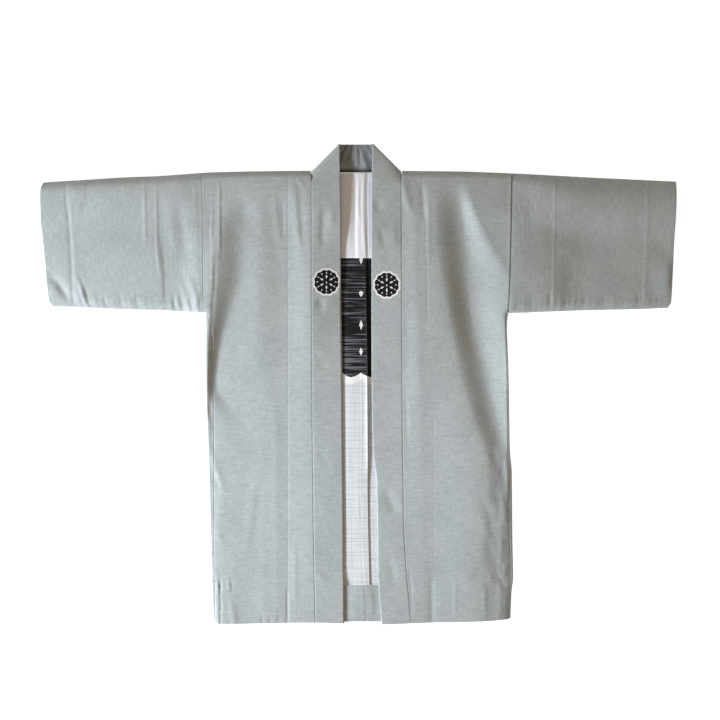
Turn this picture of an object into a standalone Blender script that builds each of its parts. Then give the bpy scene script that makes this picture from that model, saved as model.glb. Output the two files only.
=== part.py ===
"""Happi coat laid flat on its back, fronts up, built from the pieces a maker cuts.

Every length here is in millimetres, and wall() turns it into metres. X runs across the
coat, with the wearer's right side at -X. Y runs from the hem up to the collar, and Z is up
from the surface that the back lies on.

Each piece is one sheet of cloth. Its middle surface is a grid of points, worked out row by
row from the sizes below, and Solidify gives it the cloth's thickness. Where a grid has no
point, the piece has no cloth: the neck is such a place.
"""

import math
from collections import namedtuple

import bpy

MILLIMETRE = 0.001

# Cloth, and how its layers lie on each other.
CLOTH = 1.0
COLLAR_CLOTH = 2.4
SEAM_GAP = 0.3
LAYER = CLOTH + SEAM_GAP
BACK_Z = CLOTH / 2
TURN = 1.5 * LAYER
EDGE_Z = BACK_Z + 2 * TURN
ROOM = 0.9
HEM_TURN = LAYER / 2

# Main sizes of the coat.
NECK_TOP = 416.9
HEM_LEVEL = -465.0
UNDERARM = 138.7
HEM_DEPTH = 71.5
CUFF_DEPTH = 51.0
NECK_SEAM = 412.8
EDGE_FADE = 80.0
EASE = 38.0

# Top edge of shoulders and sleeves: x, y.
SHOULDER_LINE = (
    (-613.5, 393.9), (-540.0, 398.6), (-445.0, 404.5), (-390.0, 406.5), (-345.0, 409.7),
    (-277.0, 414.2), (-89.0, 416.9), (83.0, 416.7), (191.0, 415.7), (299.0, 412.0),
    (450.0, 403.8), (620.7, 395.5),
)

# Lower edge of the sleeves: x, y.
SLEEVE_HEM_LINE = (
    (-592.0, 151.2), (-464.0, 146.0), (-390.0, 144.3), (-300.5, 139.4),
    (292.0, 139.4), (440.0, 144.0), (578.0, 147.4), (592.0, 148.4),
)

# Cuff edges: y, wearer's right x, wearer's left x.
CUFF_LINES = (
    (393.9, -613.5, 620.7), (384.0, -618.2, 620.6), (372.0, -619.5, 620.2),
    (324.0, -619.5, 618.9), (287.0, -616.2, 617.2), (240.0, -611.5, 615.2),
    (200.0, -607.8, 613.2), (160.0, -602.6, 610.8), (150.0, -593.0, 604.0),
)

# Armhole seams: y, wearer's right x, wearer's left x.
ARMHOLE_LINES = (
    (UNDERARM, -300.4, 291.0), (165.0, -300.9, 292.9), (282.0, -302.3, 296.8),
    (NECK_TOP, -303.2, 299.3),
)

# Side folds, where the back turns to the front, and side seams, where it meets the front:
# y, right fold x, right seam x, left fold x, left seam x.
SIDE_LINES = (
    (UNDERARM, -298.4, -293.8, 292.8, 289.4), (126.0, -297.8, -290.0, 291.0, 287.6),
    (108.0, -297.4, -285.5, 290.4, 287.0), (80.0, -297.4, -282.6, 291.4, 288.0),
    (10.0, -297.4, -281.6, 293.9, 290.2), (-128.0, -293.3, -281.0, 296.6, 292.6),
    (-170.0, -291.9, -280.8, 300.2, 294.4),
    (-294.0, -288.6, -280.4, 301.4, 295.8), (-380.0, -286.0, -279.6, 302.8, 297.2),
    (-402.0, -285.2, -279.2, 300.0, 296.4), (HEM_LEVEL, -282.8, -278.6, 297.6, 294.0),
)

# Hem folds: x, y of the fronts, y of the back.
HEM_LINES = (
    (-300.0, -461.0, -460.0), (-284.0, -463.5, -461.5), (-270.0, -467.4, -463.0),
    (-85.0, -465.2, -463.3), (47.0, -469.2, -463.3), (121.0, -465.6, -462.6),
    (253.0, -461.4, -460.4), (300.0, -457.0, -456.6),
)

# Collar seams and the opening's edges: y, right seam, right edge, left edge, left seam.
COLLAR_LINES = (
    (HEM_LEVEL, -83.4, -26.4, 46.0, 103.6), (-401.0, -84.6, -26.8, 40.6, 97.6),
    (-352.0, -85.6, -27.2, 38.8, 93.6), (-264.0, -87.0, -27.8, 38.0, 89.0),
    (-186.0, -88.0, -28.4, 36.0, 88.0), (-128.0, -88.6, -29.2, 29.4, 87.2),
    (28.0, -89.8, -30.8, 26.6, 86.0), (200.0, -90.6, -33.4, 26.3, 85.2),
    (NECK_TOP, -90.8, -35.1, 26.3, 84.4),
)
NECK_CORNER = {-1: -92.7, 1: 86.4}
CORNER_RISE = 7.0
CORNER_EASE = 5.0

# Seam down the middle of the back, and the far edge of its allowance: y, seam x, edge x.
BACK_SEAM_LINES = (
    (HEM_LEVEL, 15.6, 26.0), (-401.0, 13.4, 23.6), (-225.0, 6.0, 19.8), (24.0, 5.5, 18.0),
    (247.0, 0.6, 14.8), (NECK_SEAM, -1.2, 13.4),
)
SEAM_STEP = 2.0
ALLOWANCE_END = -390.5

# The collar behind the neck, folded over at 45 degrees on each side.
COLLAR_FOLD = COLLAR_CLOTH
COLLAR_BACK_Z = COLLAR_CLOTH / 2
COLLAR_TOP_Z = COLLAR_BACK_Z + 2 * COLLAR_FOLD
COLLAR_EDGE_SINK = 0.5
COLLAR_CORNER_Y = 411.6
COLLAR_LOW_Y = 413.4
COLLAR_HIGH_Y = 466.0
COLLAR_FOLD_SUM = {-1: 501.9, 1: 494.5}
COLLAR_STRAIGHT = 392.0
COLLAR_EASE = 120.0
COLLAR_ROWS = 30
COLLAR_SPLITS = 4

# White patch inside the back, under the collar.
PATCH_HALF_WIDTH = 150.0
PATCH_TOP = 412.4
PATCH_BOTTOM = 246.5

# The largest folds in the top layer. Each has its line, how far it spreads to the side at
# lower x and at higher x, and how high it stands.
Fold = namedtuple("Fold", "name line low_side high_side height")
FOLDS = (
    Fold("right front, ridge by the armhole", ((-270, 400), (-271, 300), (-284, 190)), 9, 12, 1.3),
    Fold("right front, beside the sleeve", ((-284, 280), (-284, 180), (-288, 60)), 14, 32, 3.6),
    Fold("right front, hollow by the sleeve", ((-232, 290), (-232, 165), (-244, 60)), 22, 24, -0.7),
    Fold("right front, broad rise", ((-186, 330), (-181, 240), (-184, 110)), 22, 16, 2.6),
    Fold("right front, hollow", ((-154, 330), (-160, 230), (-158, 130)), 14, 12, -0.5),
    Fold("right front, rise by the collar", ((-122, 330), (-120, 240), (-127, 100)), 16, 14, 2.3),
    Fold("right front, press line", ((-136, -465), (-137, -280), (-138, -60)), 22, 9, 1.0),
    Fold("right front, low corner", ((-262, -300), (-258, -400), (-254, -466)), 10, 14, 1.9),
    Fold("right front, above the hem", ((-205, -330), (-199, -400), (-202, -466)), 18, 16, 1.0),
    Fold("left front, along the collar", ((104, 370), (110, 220), (106, 60)), 12, 16, 2.6),
    Fold("left front, slant fold", ((152, 392), (164, 180), (186, 40), (224, -110)), 34, 22, 5.0),
    Fold("left front, slant rise", ((222, 370), (272, 248), (276, 165), (280, 20)), 24, 20, 5.0),
    Fold("left front, press line", ((146, -60), (148, -280), (149, -462)), 12, 22, 1.1),
    Fold("left front, above the hem", ((192, -330), (204, -400), (201, -462)), 16, 14, 1.5),
    Fold("left front, low corner", ((262, -260), (268, -360), (262, -458)), 20, 10, 1.6),
    Fold("right sleeve, press line", ((-414, 402), (-409, 280), (-404, 150)), 20, 11, 1.3),
    Fold("right sleeve, by the cuff", ((-560, 330), (-545, 250), (-520, 170)), 24, 20, 1.2),
    Fold("right sleeve, low corner", ((-585, 205), (-566, 170)), 10, 12, -0.5),
    Fold("left sleeve, press line", ((384, 398), (381, 280), (376, 150)), 11, 20, 1.4),
    Fold("left sleeve, near the armhole", ((330, 350), (334, 260), (326, 180)), 18, 18, 1.5),
    Fold("left sleeve, by the cuff", ((540, 330), (528, 240), (506, 170)), 22, 24, 1.2),
)


def smooth(t):
    """Ease from 0 to 1 as t goes from 0 to 1."""
    t = min(1.0, max(0.0, t))
    return t * t * (3.0 - 2.0 * t)


def mix(a, b, t):
    return a + (b - a) * t


def follow(table, at, column=1):
    """Value at a place on the smooth line through a table's rows, which never overshoots."""
    rows = sorted((row[0], row[column]) for row in table)
    at = min(rows[-1][0], max(rows[0][0], at))
    rises = [(b[1] - a[1]) / (b[0] - a[0]) for a, b in zip(rows, rows[1:])]
    i = next(k for k in range(len(rises)) if at <= rows[k + 1][0])

    def tilt(k):
        if k == 0 or k == len(rises):
            return rises[min(k, len(rises) - 1)]
        before, after = rises[k - 1], rises[k]
        return 0.0 if before * after <= 0 else 2 * before * after / (before + after)

    (x0, y0), (x1, y1) = rows[i], rows[i + 1]
    width = x1 - x0
    t = (at - x0) / width
    bend = (1 - t) * (tilt(i) - rises[i]) - t * (tilt(i + 1) - rises[i])
    return mix(y0, y1, t) + t * (1 - t) * width * bend


def nearest(line, x, y):
    """Distance from a point to a line of straight runs, below zero on its low-x side."""
    best = None
    for (x0, y0), (x1, y1) in zip(line, line[1:]):
        run_x, run_y = x1 - x0, y1 - y0
        t = ((x - x0) * run_x + (y - y0) * run_y) / (run_x * run_x + run_y * run_y)
        t = min(1.0, max(0.0, t))
        away = math.hypot(x - x0 - t * run_x, y - y0 - t * run_y)
        side = (x - x0) * run_y - (y - y0) * run_x
        if run_y < 0:
            side = -side
        if best is None or away < abs(best):
            best = away if side > 0 else -away
    return best


def outline_lines():
    """Edges where the top layer turns down to the back: shoulders, sleeve hems, side folds."""
    lines = [[(row[0], row[1]) for row in SHOULDER_LINE]]
    for side, fold in ((-1, 1), (1, 3)):
        hem = [(x, y) for x, y in SLEEVE_HEM_LINE if x * side > 0]
        lines.append(hem)
        lines.append([(row[fold], row[0]) for row in SIDE_LINES])
    return lines


OUTLINE = outline_lines()


def top_z(x, y):
    """Height of the middle of the top layer: low at the edges, with the large folds on it."""
    inside = min(abs(nearest(line, x, y)) for line in OUTLINE)
    level = EDGE_Z + ROOM * smooth(inside / EASE)
    folds = 0.0
    for fold in FOLDS:
        away = nearest(fold.line, x, y)
        spread = fold.low_side if away < 0 else fold.high_side
        folds += fold.height * math.exp(-(away / spread) ** 2)
    return level + folds * smooth(inside / EASE)


def turn(radius, steps):
    """Steps between the ends of a half turn, as how far out it goes and how far it drops."""
    for step in range(1, steps):
        angle = math.pi * step / steps
        yield radius * math.sin(angle), radius * (1 - math.cos(angle))


def row_y(level, x, hem_column):
    """Place of a cross row: its own level, bent to run along the shoulder or the hem."""
    top = follow(SHOULDER_LINE, x) - NECK_TOP
    low = follow(HEM_LINES, x, hem_column) - HEM_LEVEL
    by_top = smooth((level - NECK_TOP + EDGE_FADE) / EDGE_FADE)
    by_hem = smooth((HEM_LEVEL + EDGE_FADE - level) / EDGE_FADE)
    return level + top * by_top + low * by_hem


def levels(start, end, count):
    return [mix(start, end, i / count) for i in range(count + 1)]


class Sheet:
    """Grid of points, by row and column, that becomes one piece of cloth."""

    def __init__(self):
        self.rows = []

    def add(self, points):
        """Add a row, given as a dict from column to (x, y, z)."""
        self.rows.append(points)

    def wall(self, name, thickness, material, closed=False):
        """Make the object: a quad wherever four neighbouring points exist, then thickness."""
        index, points, faces = {}, [], []
        for r, row in enumerate(self.rows):
            for column, point in row.items():
                index[r, column] = len(points)
                points.append([value * MILLIMETRE for value in point])
        columns = sorted({column for row in self.rows for column in row})
        pairs = list(zip(columns, columns[1:]))
        if closed:
            pairs.append((columns[-1], columns[0]))
        for r in range(len(self.rows) - 1):
            for a, b in pairs:
                corners = [(r, a), (r, b), (r + 1, b), (r + 1, a)]
                if all(corner in index for corner in corners):
                    faces.append([index[corner] for corner in corners])
        mesh = bpy.data.meshes.new(name)
        mesh.from_pydata(points, [], faces)
        mesh.materials.append(material)
        piece = bpy.data.objects.new(name, mesh)
        bpy.context.scene.collection.objects.link(piece)
        solidify = piece.modifiers.new("cloth thickness", "SOLIDIFY")
        solidify.thickness = thickness * MILLIMETRE
        solidify.offset = 0.0
        return piece


# How finely the body's grid is cut: columns across, rows above the underarm, and the levels
# of the rows from the underarm to the hem, which fronts and backs share along their seams.
FRONT_COLUMNS = 15
CENTRE_COLUMNS = 3
WRAP_STEPS = 4
CHEST_ROWS = 10
UPPER_BACK_ROWS = 4
SHOULDER_START = NECK_TOP - CLOTH / 2 - TURN
SHOULDER_STEP = 2.0
NECK_STEP = 6.0
HEM_START = HEM_LEVEL + CLOTH / 2 + HEM_TURN
CORNER = 2.4
SIDE_LEVELS = (
    levels(UNDERARM, UNDERARM - 32, 4) + levels(UNDERARM - 56, ALLOWANCE_END, 17)
    + levels(HEM_START + HEM_DEPTH, HEM_START, 3)
)


def side_lines(side):
    """Columns of SIDE_LINES that hold one side's fold and seam."""
    return (1, 2) if side < 0 else (3, 4)


def front_x(side, level, share):
    """Across a front, from its side seam or armhole (0) to its collar seam (1)."""
    seam = side_lines(side)[1]
    armhole, collar_seam = (1, 1) if side < 0 else (2, 4)
    if level > UNDERARM:
        outer = follow(ARMHOLE_LINES, level, armhole)
    else:
        outer = follow(SIDE_LINES, level, seam)
    inner = follow(COLLAR_LINES, level, collar_seam) + side * SEAM_GAP
    near_neck = smooth((level - NECK_TOP + CORNER_RISE) / CORNER_EASE)
    return mix(outer, mix(inner, NECK_CORNER[side], near_neck), share)


def back_outer(side, level):
    """Outer edge of the flat part of a back: the armhole, or where the side fold starts."""
    fold, seam = side_lines(side)
    if level > UNDERARM:
        return follow(ARMHOLE_LINES, level, 1 if side < 0 else 2)
    return follow(SIDE_LINES, level, fold) - side * (CLOTH / 2 + TURN)


def back_row(side, level, z, in_hem):
    """One cross row of a back: its shared columns, then those across the neck."""
    outer = back_outer(side, level)
    inset = SEAM_GAP * side if z != BACK_Z else 0.0
    points = {}
    for column in range(FRONT_COLUMNS + 1):
        x = mix(outer - inset, NECK_CORNER[side], column / FRONT_COLUMNS)
        points[column] = (x, row_y(level, x, 2), z)
    if level > NECK_SEAM:
        return points
    seam = follow(BACK_SEAM_LINES, level, 1)
    edge = seam - SEAM_STEP if side < 0 else seam + LAYER
    if in_hem:
        edge = seam + side * SEAM_GAP / 2
    for step in range(1, CENTRE_COLUMNS + 1):
        x = mix(NECK_CORNER[side], edge, step / CENTRE_COLUMNS)
        if in_hem and side < 0 and step == CENTRE_COLUMNS:
            x = seam - SEAM_STEP
        y = NECK_SEAM if level == NECK_SEAM else row_y(level, x, 2)
        points[FRONT_COLUMNS + step] = (x, y, z)
    if side < 0:
        past = FRONT_COLUMNS + CENTRE_COLUMNS + 1
        y = min(NECK_SEAM, row_y(level, seam, 2))
        if in_hem:
            points[past] = (seam - SEAM_GAP / 2, y, z)
        else:
            points[past] = (seam + SEAM_STEP / 4, y, z + LAYER)
            points[past + 1] = (follow(BACK_SEAM_LINES, level, 2), y, z + LAYER)
    return points


def add_side_wrap(points, side, level):
    """Carry a back's row round the side fold and over to the side seam."""
    fold, seam = side_lines(side)
    start_x, y, start_z = points[0]
    for step, (out, rise) in enumerate(turn(TURN, WRAP_STEPS), start=1):
        points[-step] = (start_x + side * out, y, start_z + rise)
    points[-WRAP_STEPS] = (start_x, y, start_z + 2 * TURN)
    seam_x = follow(SIDE_LINES, level, seam) + side * SEAM_GAP
    points[-WRAP_STEPS - 1] = (seam_x, y, top_z(seam_x, y))


def body(side, name, material):
    """One half of the body: front and back in one length of cloth over the shoulder."""
    sheet = Sheet()
    low = HEM_START
    columns = range(FRONT_COLUMNS + 1)

    def front_row(level, drop=0.0, out=0.0):
        row = {}
        for column in columns:
            x = front_x(side, level, column / FRONT_COLUMNS)
            y = row_y(level, x, 1)
            row[column] = (x, y - out, top_z(x, y) - drop)
        return row

    for level in levels(low + HEM_DEPTH, low, 3):
        sheet.add(front_row(level, LAYER))
    for out, rise in turn(HEM_TURN, 3):
        sheet.add(front_row(low, LAYER - rise, out))
    chest = levels(UNDERARM + CORNER, NECK_TOP - 2 * CORNER_RISE, CHEST_ROWS)
    shoulder = [NECK_TOP - NECK_STEP, SHOULDER_START - SHOULDER_STEP, SHOULDER_START]
    for level in list(reversed(SIDE_LEVELS)) + chest + shoulder:
        sheet.add(front_row(level))
    for out, drop in turn(TURN, 4):
        row = front_row(SHOULDER_START)
        ends = {c: (x, y + out, EDGE_Z - drop) for c, (x, y, z) in row.items()}
        sheet.add(ends)
    upper_back = levels(NECK_SEAM - NECK_STEP, UNDERARM + CORNER, UPPER_BACK_ROWS)
    for level in [SHOULDER_START, NECK_SEAM] + upper_back:
        sheet.add(back_row(side, level, BACK_Z, False))
    for level in SIDE_LEVELS:
        row = back_row(side, level, BACK_Z, level < ALLOWANCE_END)
        add_side_wrap(row, side, level)
        sheet.add(row)
    for out, rise in turn(HEM_TURN, 3):
        row = back_row(side, low, BACK_Z, True)
        sheet.add({c: (x, y - out, z + rise) for c, (x, y, z) in row.items()})
    for level in levels(low, low + HEM_DEPTH, 2):
        sheet.add(back_row(side, level, BACK_Z + LAYER, True))
    return sheet.wall(name, CLOTH, material)


# How finely a sleeve is cut, about where it ends across the coat, and how long it is.
SLEEVE_ROWS = 11
SLEEVE_RINGS = 17
CUFF_RINGS = 3
SLEEVE_END = 610.0
SLEEVE_LENGTH = 325.0


def sleeve_ring(side, share, drop):
    """One ring of a sleeve, from armhole (0) to cuff (1), drop inside its outer wall."""
    column = 1 if side < 0 else 2
    half = CLOTH / 2 + TURN
    radius = TURN - drop

    def place(f):
        top_x = mix(follow(ARMHOLE_LINES, NECK_TOP, column), side * SLEEVE_END, share)
        low_x = mix(follow(ARMHOLE_LINES, UNDERARM, column), side * SLEEVE_END, share)
        high = follow(SHOULDER_LINE, top_x) - half
        low = follow(SLEEVE_HEM_LINE, low_x) + half
        y = mix(low, high, f)
        start = follow(ARMHOLE_LINES, y, column) + side * SEAM_GAP
        end = follow(CUFF_LINES, y, column) - side * (CLOTH / 2 + HEM_TURN)
        return mix(start, end, share), y

    points = []
    for f in levels(0.0, 1.0, SLEEVE_ROWS):
        x, y = place(f)
        points.append((x, y, BACK_Z + drop))
    for out, rise in turn(radius, 4):
        points.append((x, y + out, BACK_Z + drop + rise))
    for f in levels(1.0, 0.0, SLEEVE_ROWS):
        x, y = place(f)
        points.append((x, y, top_z(x, y) - drop))
    for out, fall in turn(radius, 4):
        points.append((x, y - out, EDGE_Z - drop - fall))
    return dict(enumerate(points))


def sleeve(side, name, material):
    """A sleeve: a flattened tube, with its cuff hem turned inside."""
    sheet = Sheet()
    for share in levels(0.0, 1.0, SLEEVE_RINGS):
        sheet.add(sleeve_ring(side, share, 0.0))
    outer = sleeve_ring(side, 1.0, 0.0)
    inner = sleeve_ring(side, 1.0, LAYER)
    for out, rise in turn(HEM_TURN, 3):
        row = {}
        for k, (x, y, z) in outer.items():
            share = rise / LAYER
            x2, y2, z2 = inner[k]
            row[k] = (x + side * out, mix(y, y2, share), mix(z, z2, share))
        sheet.add(row)
    reach = 1.0 - CUFF_DEPTH / SLEEVE_LENGTH
    for share in levels(1.0, reach, CUFF_RINGS):
        sheet.add(sleeve_ring(side, share, LAYER))
    return sheet.wall(name, CLOTH, material, closed=True)


def collar_row(seam, edge, seam_z, edge_z):
    """One cross row of the collar, from its seam to its free edge."""
    points = {}
    for k in range(COLLAR_SPLITS + 1):
        t = k / COLLAR_SPLITS
        points[k] = (mix(seam[0], edge[0], t), mix(seam[1], edge[1], t), mix(seam_z, edge_z, t))
    return points


def collar_front(side):
    """Rows of one front length of the collar, from the hem to its fold at the neck."""
    seam_column, edge_column = (1, 2) if side < 0 else (4, 3)
    rows = []
    for level in levels(HEM_LEVEL + CLOTH / 2, COLLAR_STRAIGHT, COLLAR_ROWS):
        seam_x = follow(COLLAR_LINES, level, seam_column)
        edge_x = follow(COLLAR_LINES, level, edge_column)
        seam = (seam_x, row_y(level, seam_x, 1))
        edge = (edge_x, row_y(level, edge_x, 1))
        flat = smooth((level - COLLAR_STRAIGHT + COLLAR_EASE) / COLLAR_EASE)
        sink = COLLAR_EDGE_SINK * (1 - flat)
        rows.append(collar_row(seam, edge, COLLAR_TOP_Z, COLLAR_TOP_Z - sink))
    low, high = fold_ends(side)
    last = rows[-1]
    for t in levels(0.0, 1.0, 3)[1:-1]:
        seam = [mix(a, b, t) for a, b in zip(last[0], low)]
        edge = [mix(a, b, t) for a, b in zip(last[COLLAR_SPLITS], high)]
        rows.append(collar_row(seam, edge, COLLAR_TOP_Z, COLLAR_TOP_Z))
    return rows


def fold_ends(side, turned=0.0):
    """Ends of the collar's slanted fold: where it starts (0), and where its turn ends (1)."""
    total = COLLAR_FOLD_SUM[side]
    low_y = mix(COLLAR_CORNER_Y, COLLAR_LOW_Y, turned)
    low = (side * (total - low_y), low_y)
    high = (side * (total - COLLAR_HIGH_Y), COLLAR_HIGH_Y)
    return low, high


def collar_fold(side):
    """Rows of the half turn at one 45-degree fold, from the top length to the back one."""
    slant = math.sqrt(0.5)
    ends = [(0.0, 0.0)] + list(turn(COLLAR_FOLD, 4)) + [(0.0, 2 * COLLAR_FOLD)]
    rows = []
    for out, drop in ends:
        low, high = fold_ends(side, drop / (2 * COLLAR_FOLD))
        seam = (low[0] + side * slant * out, low[1] + slant * out)
        edge = (high[0] + side * slant * out, high[1] + slant * out)
        rows.append(collar_row(seam, edge, COLLAR_TOP_Z - drop, COLLAR_TOP_Z - drop))
    return rows


def collar(name, material):
    """The collar band: up one front, round behind the neck and down the other front."""
    sheet = Sheet()
    for row in collar_front(-1) + collar_fold(-1):
        sheet.add(row)
    start_low, start_high = fold_ends(-1, 1.0)
    end_low, end_high = fold_ends(1, 1.0)
    for t in (0.25, 0.5, 0.75):
        seam = (mix(start_low[0], end_low[0], t), COLLAR_LOW_Y)
        edge = (mix(start_high[0], end_high[0], t), COLLAR_HIGH_Y)
        sheet.add(collar_row(seam, edge, COLLAR_BACK_Z, COLLAR_BACK_Z))
    for row in reversed(collar_front(1) + collar_fold(1)):
        sheet.add(row)
    return sheet.wall(name, COLLAR_CLOTH, material)


def shoulder_patch(name, material):
    """White patch on the inside of the back, raised where the back seam lies under it."""
    sheet = Sheet()
    for level in levels(PATCH_BOTTOM, PATCH_TOP, 6):
        seam = follow(BACK_SEAM_LINES, level, 1)
        edge = follow(BACK_SEAM_LINES, level, 2)
        low, high = BACK_Z + LAYER, BACK_Z + 2 * LAYER
        across = (
            (-PATCH_HALF_WIDTH, low), (seam - 2 * SEAM_STEP - 1, low), (seam - SEAM_STEP, high),
            (edge + 1, high), (edge + SEAM_STEP + 2, low), (PATCH_HALF_WIDTH, low),
        )
        sheet.add({k: (x, level, z) for k, (x, z) in enumerate(across)})
    return sheet.wall(name, CLOTH, material)


def cloth(name, colour):
    """Plain matt cotton in one colour."""
    material = bpy.data.materials.new(name)
    material.use_nodes = True
    surface = material.node_tree.nodes["Principled BSDF"]
    surface.inputs["Base Color"].default_value = (*colour, 1.0)
    surface.inputs["Roughness"].default_value = 0.9
    surface.inputs["Metallic"].default_value = 0.0
    return material


def main():
    for thing in list(bpy.data.objects):
        bpy.data.objects.remove(thing)
    grey = cloth("grey cotton", (0.47, 0.52, 0.53))
    white = cloth("white cotton", (0.80, 0.79, 0.82))
    body(-1, "right_body", grey)
    body(1, "left_body", grey)
    sleeve(-1, "right_sleeve", grey)
    sleeve(1, "left_sleeve", grey)
    collar("collar", grey)
    shoulder_patch("shoulder_patch", white)


main()
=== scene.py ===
"""Happi coat laid flat on its back, fronts up: the finish of each piece of cloth, and a studio.

Lengths here are in millimetres, and lay() turns them into metres. X runs across the coat, with
the wearer's right side at -X. Y runs from the hem up to the collar, and Z is up from the floor.
A side is -1 for the wearer's right and 1 for the wearer's left.

Each piece of cloth starts as the flat grid of its cut. Its points are then laid where the
sewn and folded cloth lies, and Solidify gives it the cloth's thickness. A point that is NaN is
cut away: the neck is such a place.
"""

import math
from collections import namedtuple

import bmesh
import bpy
import numpy as np
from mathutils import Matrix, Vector


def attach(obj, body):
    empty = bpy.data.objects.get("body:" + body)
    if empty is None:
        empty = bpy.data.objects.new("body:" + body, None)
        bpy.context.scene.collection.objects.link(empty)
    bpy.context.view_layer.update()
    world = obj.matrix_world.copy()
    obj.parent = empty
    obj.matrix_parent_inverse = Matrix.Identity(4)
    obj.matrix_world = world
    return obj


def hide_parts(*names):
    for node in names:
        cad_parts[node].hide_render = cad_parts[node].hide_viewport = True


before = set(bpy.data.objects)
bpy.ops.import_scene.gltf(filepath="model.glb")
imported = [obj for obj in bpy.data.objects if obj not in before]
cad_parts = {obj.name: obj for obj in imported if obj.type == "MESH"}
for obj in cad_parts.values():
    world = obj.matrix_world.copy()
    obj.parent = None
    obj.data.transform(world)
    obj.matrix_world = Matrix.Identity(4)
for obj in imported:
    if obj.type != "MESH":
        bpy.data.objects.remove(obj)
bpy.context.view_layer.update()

MILLIMETRE = 0.001

# Cloth, and how its layers lie on each other, as in the solids.
CLOTH = 1.0
SEAM_GAP = 0.3
LAYER = CLOTH + SEAM_GAP
BACK_Z = CLOTH / 2
TURN = 1.5 * LAYER
EDGE_Z = BACK_Z + 2 * TURN
HEM_TURN = LAYER / 2
THREAD_WALL = 0.8
WELD = 0.02

# Main sizes of the coat.
NECK_TOP = 416.9
HEM_LEVEL = -465.0
UNDERARM = 138.7
HEM_DEPTH = 71.5
CUFF_DEPTH = 51.0
NECK_SEAM = 412.8
EDGE_FADE = 80.0

# How the top layer rises from the coat's edges: rounded over the shoulders, short by the others.
EASE = 11.0
SHOULDER_ROOM = 7.8
SHOULDER_WIDTH = 15.0
SLEEVE_ROOM = {-1: 9.0, 1: 12.0}
SLEEVE_ROLL_WIDTH = {-1: 15.0, 1: 40.0}
SHOULDER_FADE = 90.0
CREASE_EASE = 7.0
CENTRE_BLEND = (-90.0, 86.0)

# Columns of the tables below that hold each side's values.
OF_TWO = {-1: 1, 1: 2}
SIDE_FOLD = {-1: 1, 1: 3}
SIDE_SEAM = {-1: 2, 1: 4}
COLLAR_SEAM = {-1: 1, 1: 4}
COLLAR_EDGE = {-1: 2, 1: 3}

# Top edge of shoulders and sleeves: x, y.
SHOULDER_LINE = (
    (-613.5, 393.9), (-540, 398.6), (-445, 404.5), (-390, 406.5), (-345, 409.7),
    (-277, 414.2), (-89, 416.9), (83, 416.7), (191, 415.7), (299, 412),
    (450, 403.8), (620.7, 395.5),
)

# Lower edge of the sleeves: x, y.
SLEEVE_HEM_LINE = (
    (-592, 151.2), (-464, 146), (-390, 144.3), (-300.5, 139.4),
    (292, 139.4), (440, 144), (578, 147.4), (592, 148.4),
)

# Cuff edges: y, wearer's right x, wearer's left x.
CUFF_LINES = (
    (393.9, -613.5, 620.7), (384, -618.2, 620.6), (372, -619.5, 620.2),
    (324, -619.5, 618.9), (287, -616.2, 617.2), (240, -611.5, 615.2),
    (200, -607.8, 613.2), (160, -602.6, 610.8), (150, -593, 604),
)

# Armhole seams: y, wearer's right x, wearer's left x.
ARMHOLE_LINES = (
    (UNDERARM, -300.4, 291), (165, -300.9, 292.9), (282, -302.3, 296.8),
    (NECK_TOP, -303.2, 299.3),
)

# Side folds, where the back turns to the front, and side seams, where it meets the front:
# y, right fold x, right seam x, left fold x, left seam x.
SIDE_LINES = (
    (UNDERARM, -298.4, -293.8, 292.8, 289.4), (126, -297.8, -290, 291, 287.6),
    (108, -297.4, -285.5, 290.4, 287), (80, -297.4, -282.6, 291.4, 288),
    (10, -297.4, -281.6, 293.9, 290.2), (-128, -293.3, -281, 296.6, 292.6),
    (-170, -291.9, -280.8, 300.2, 294.4), (-294, -288.6, -280.4, 301.4, 295.8),
    (-380, -286, -279.6, 302.8, 297.2), (-402, -285.2, -279.2, 300, 296.4),
    (HEM_LEVEL, -282.8, -278.6, 297.6, 294),
)

# Hem folds: x, y of the fronts, y of the back.
HEM_LINES = (
    (-300, -461, -460), (-284, -463.5, -461.5), (-270, -467.4, -463),
    (-85, -465.2, -463.3), (47, -469.2, -463.3), (121, -465.6, -462.6),
    (253, -461.4, -460.4), (300, -457, -456.6),
)

# Collar seams and the opening's edges: y, right seam, right edge, left edge, left seam.
COLLAR_LINES = (
    (HEM_LEVEL, -83.4, -26.4, 46, 103.6), (-401, -84.6, -26.8, 40.6, 97.6),
    (-352, -85.6, -27.2, 38.8, 93.6), (-264, -87, -27.8, 38, 89),
    (-186, -88, -28.4, 36, 88), (-128, -88.6, -29.2, 29.4, 87.2),
    (28, -89.8, -30.8, 26.6, 86), (200, -90.6, -33.4, 26.3, 85.2),
    (NECK_TOP, -90.8, -35.1, 26.3, 84.4),
)
NECK_CORNER = {-1: -92.7, 1: 86.4}
CORNER_RISE = 7
CORNER_EASE = 5

# Seam down the middle of the back, and the far edge of its allowance: y, seam x, edge x.
BACK_SEAM_LINES = (
    (HEM_LEVEL, 15.6, 26), (-401, 13.4, 23.6), (-225, 6, 19.8), (24, 5.5, 18),
    (247, 0.6, 14.8), (NECK_SEAM, -1.2, 13.4),
)
SEAM_STEP = 2
SEAM_RISE = 1
SEAM_RISE_WIDTH = 30
SEAM_RISE_START = 8
SEAM_RISE_FADE = 50
ALLOWANCE_END = -392
ALLOWANCE_CURL = 4

# How far the allowance's far edge lifts: y, lift.
ALLOWANCE_LIFT = (
    (-330, 0), (-230, 0.1), (-190, 0.5), (-130, 2), (24, 2.2), (140, 1.4),
    (216, 0.8), (246, 0),
)

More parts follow.
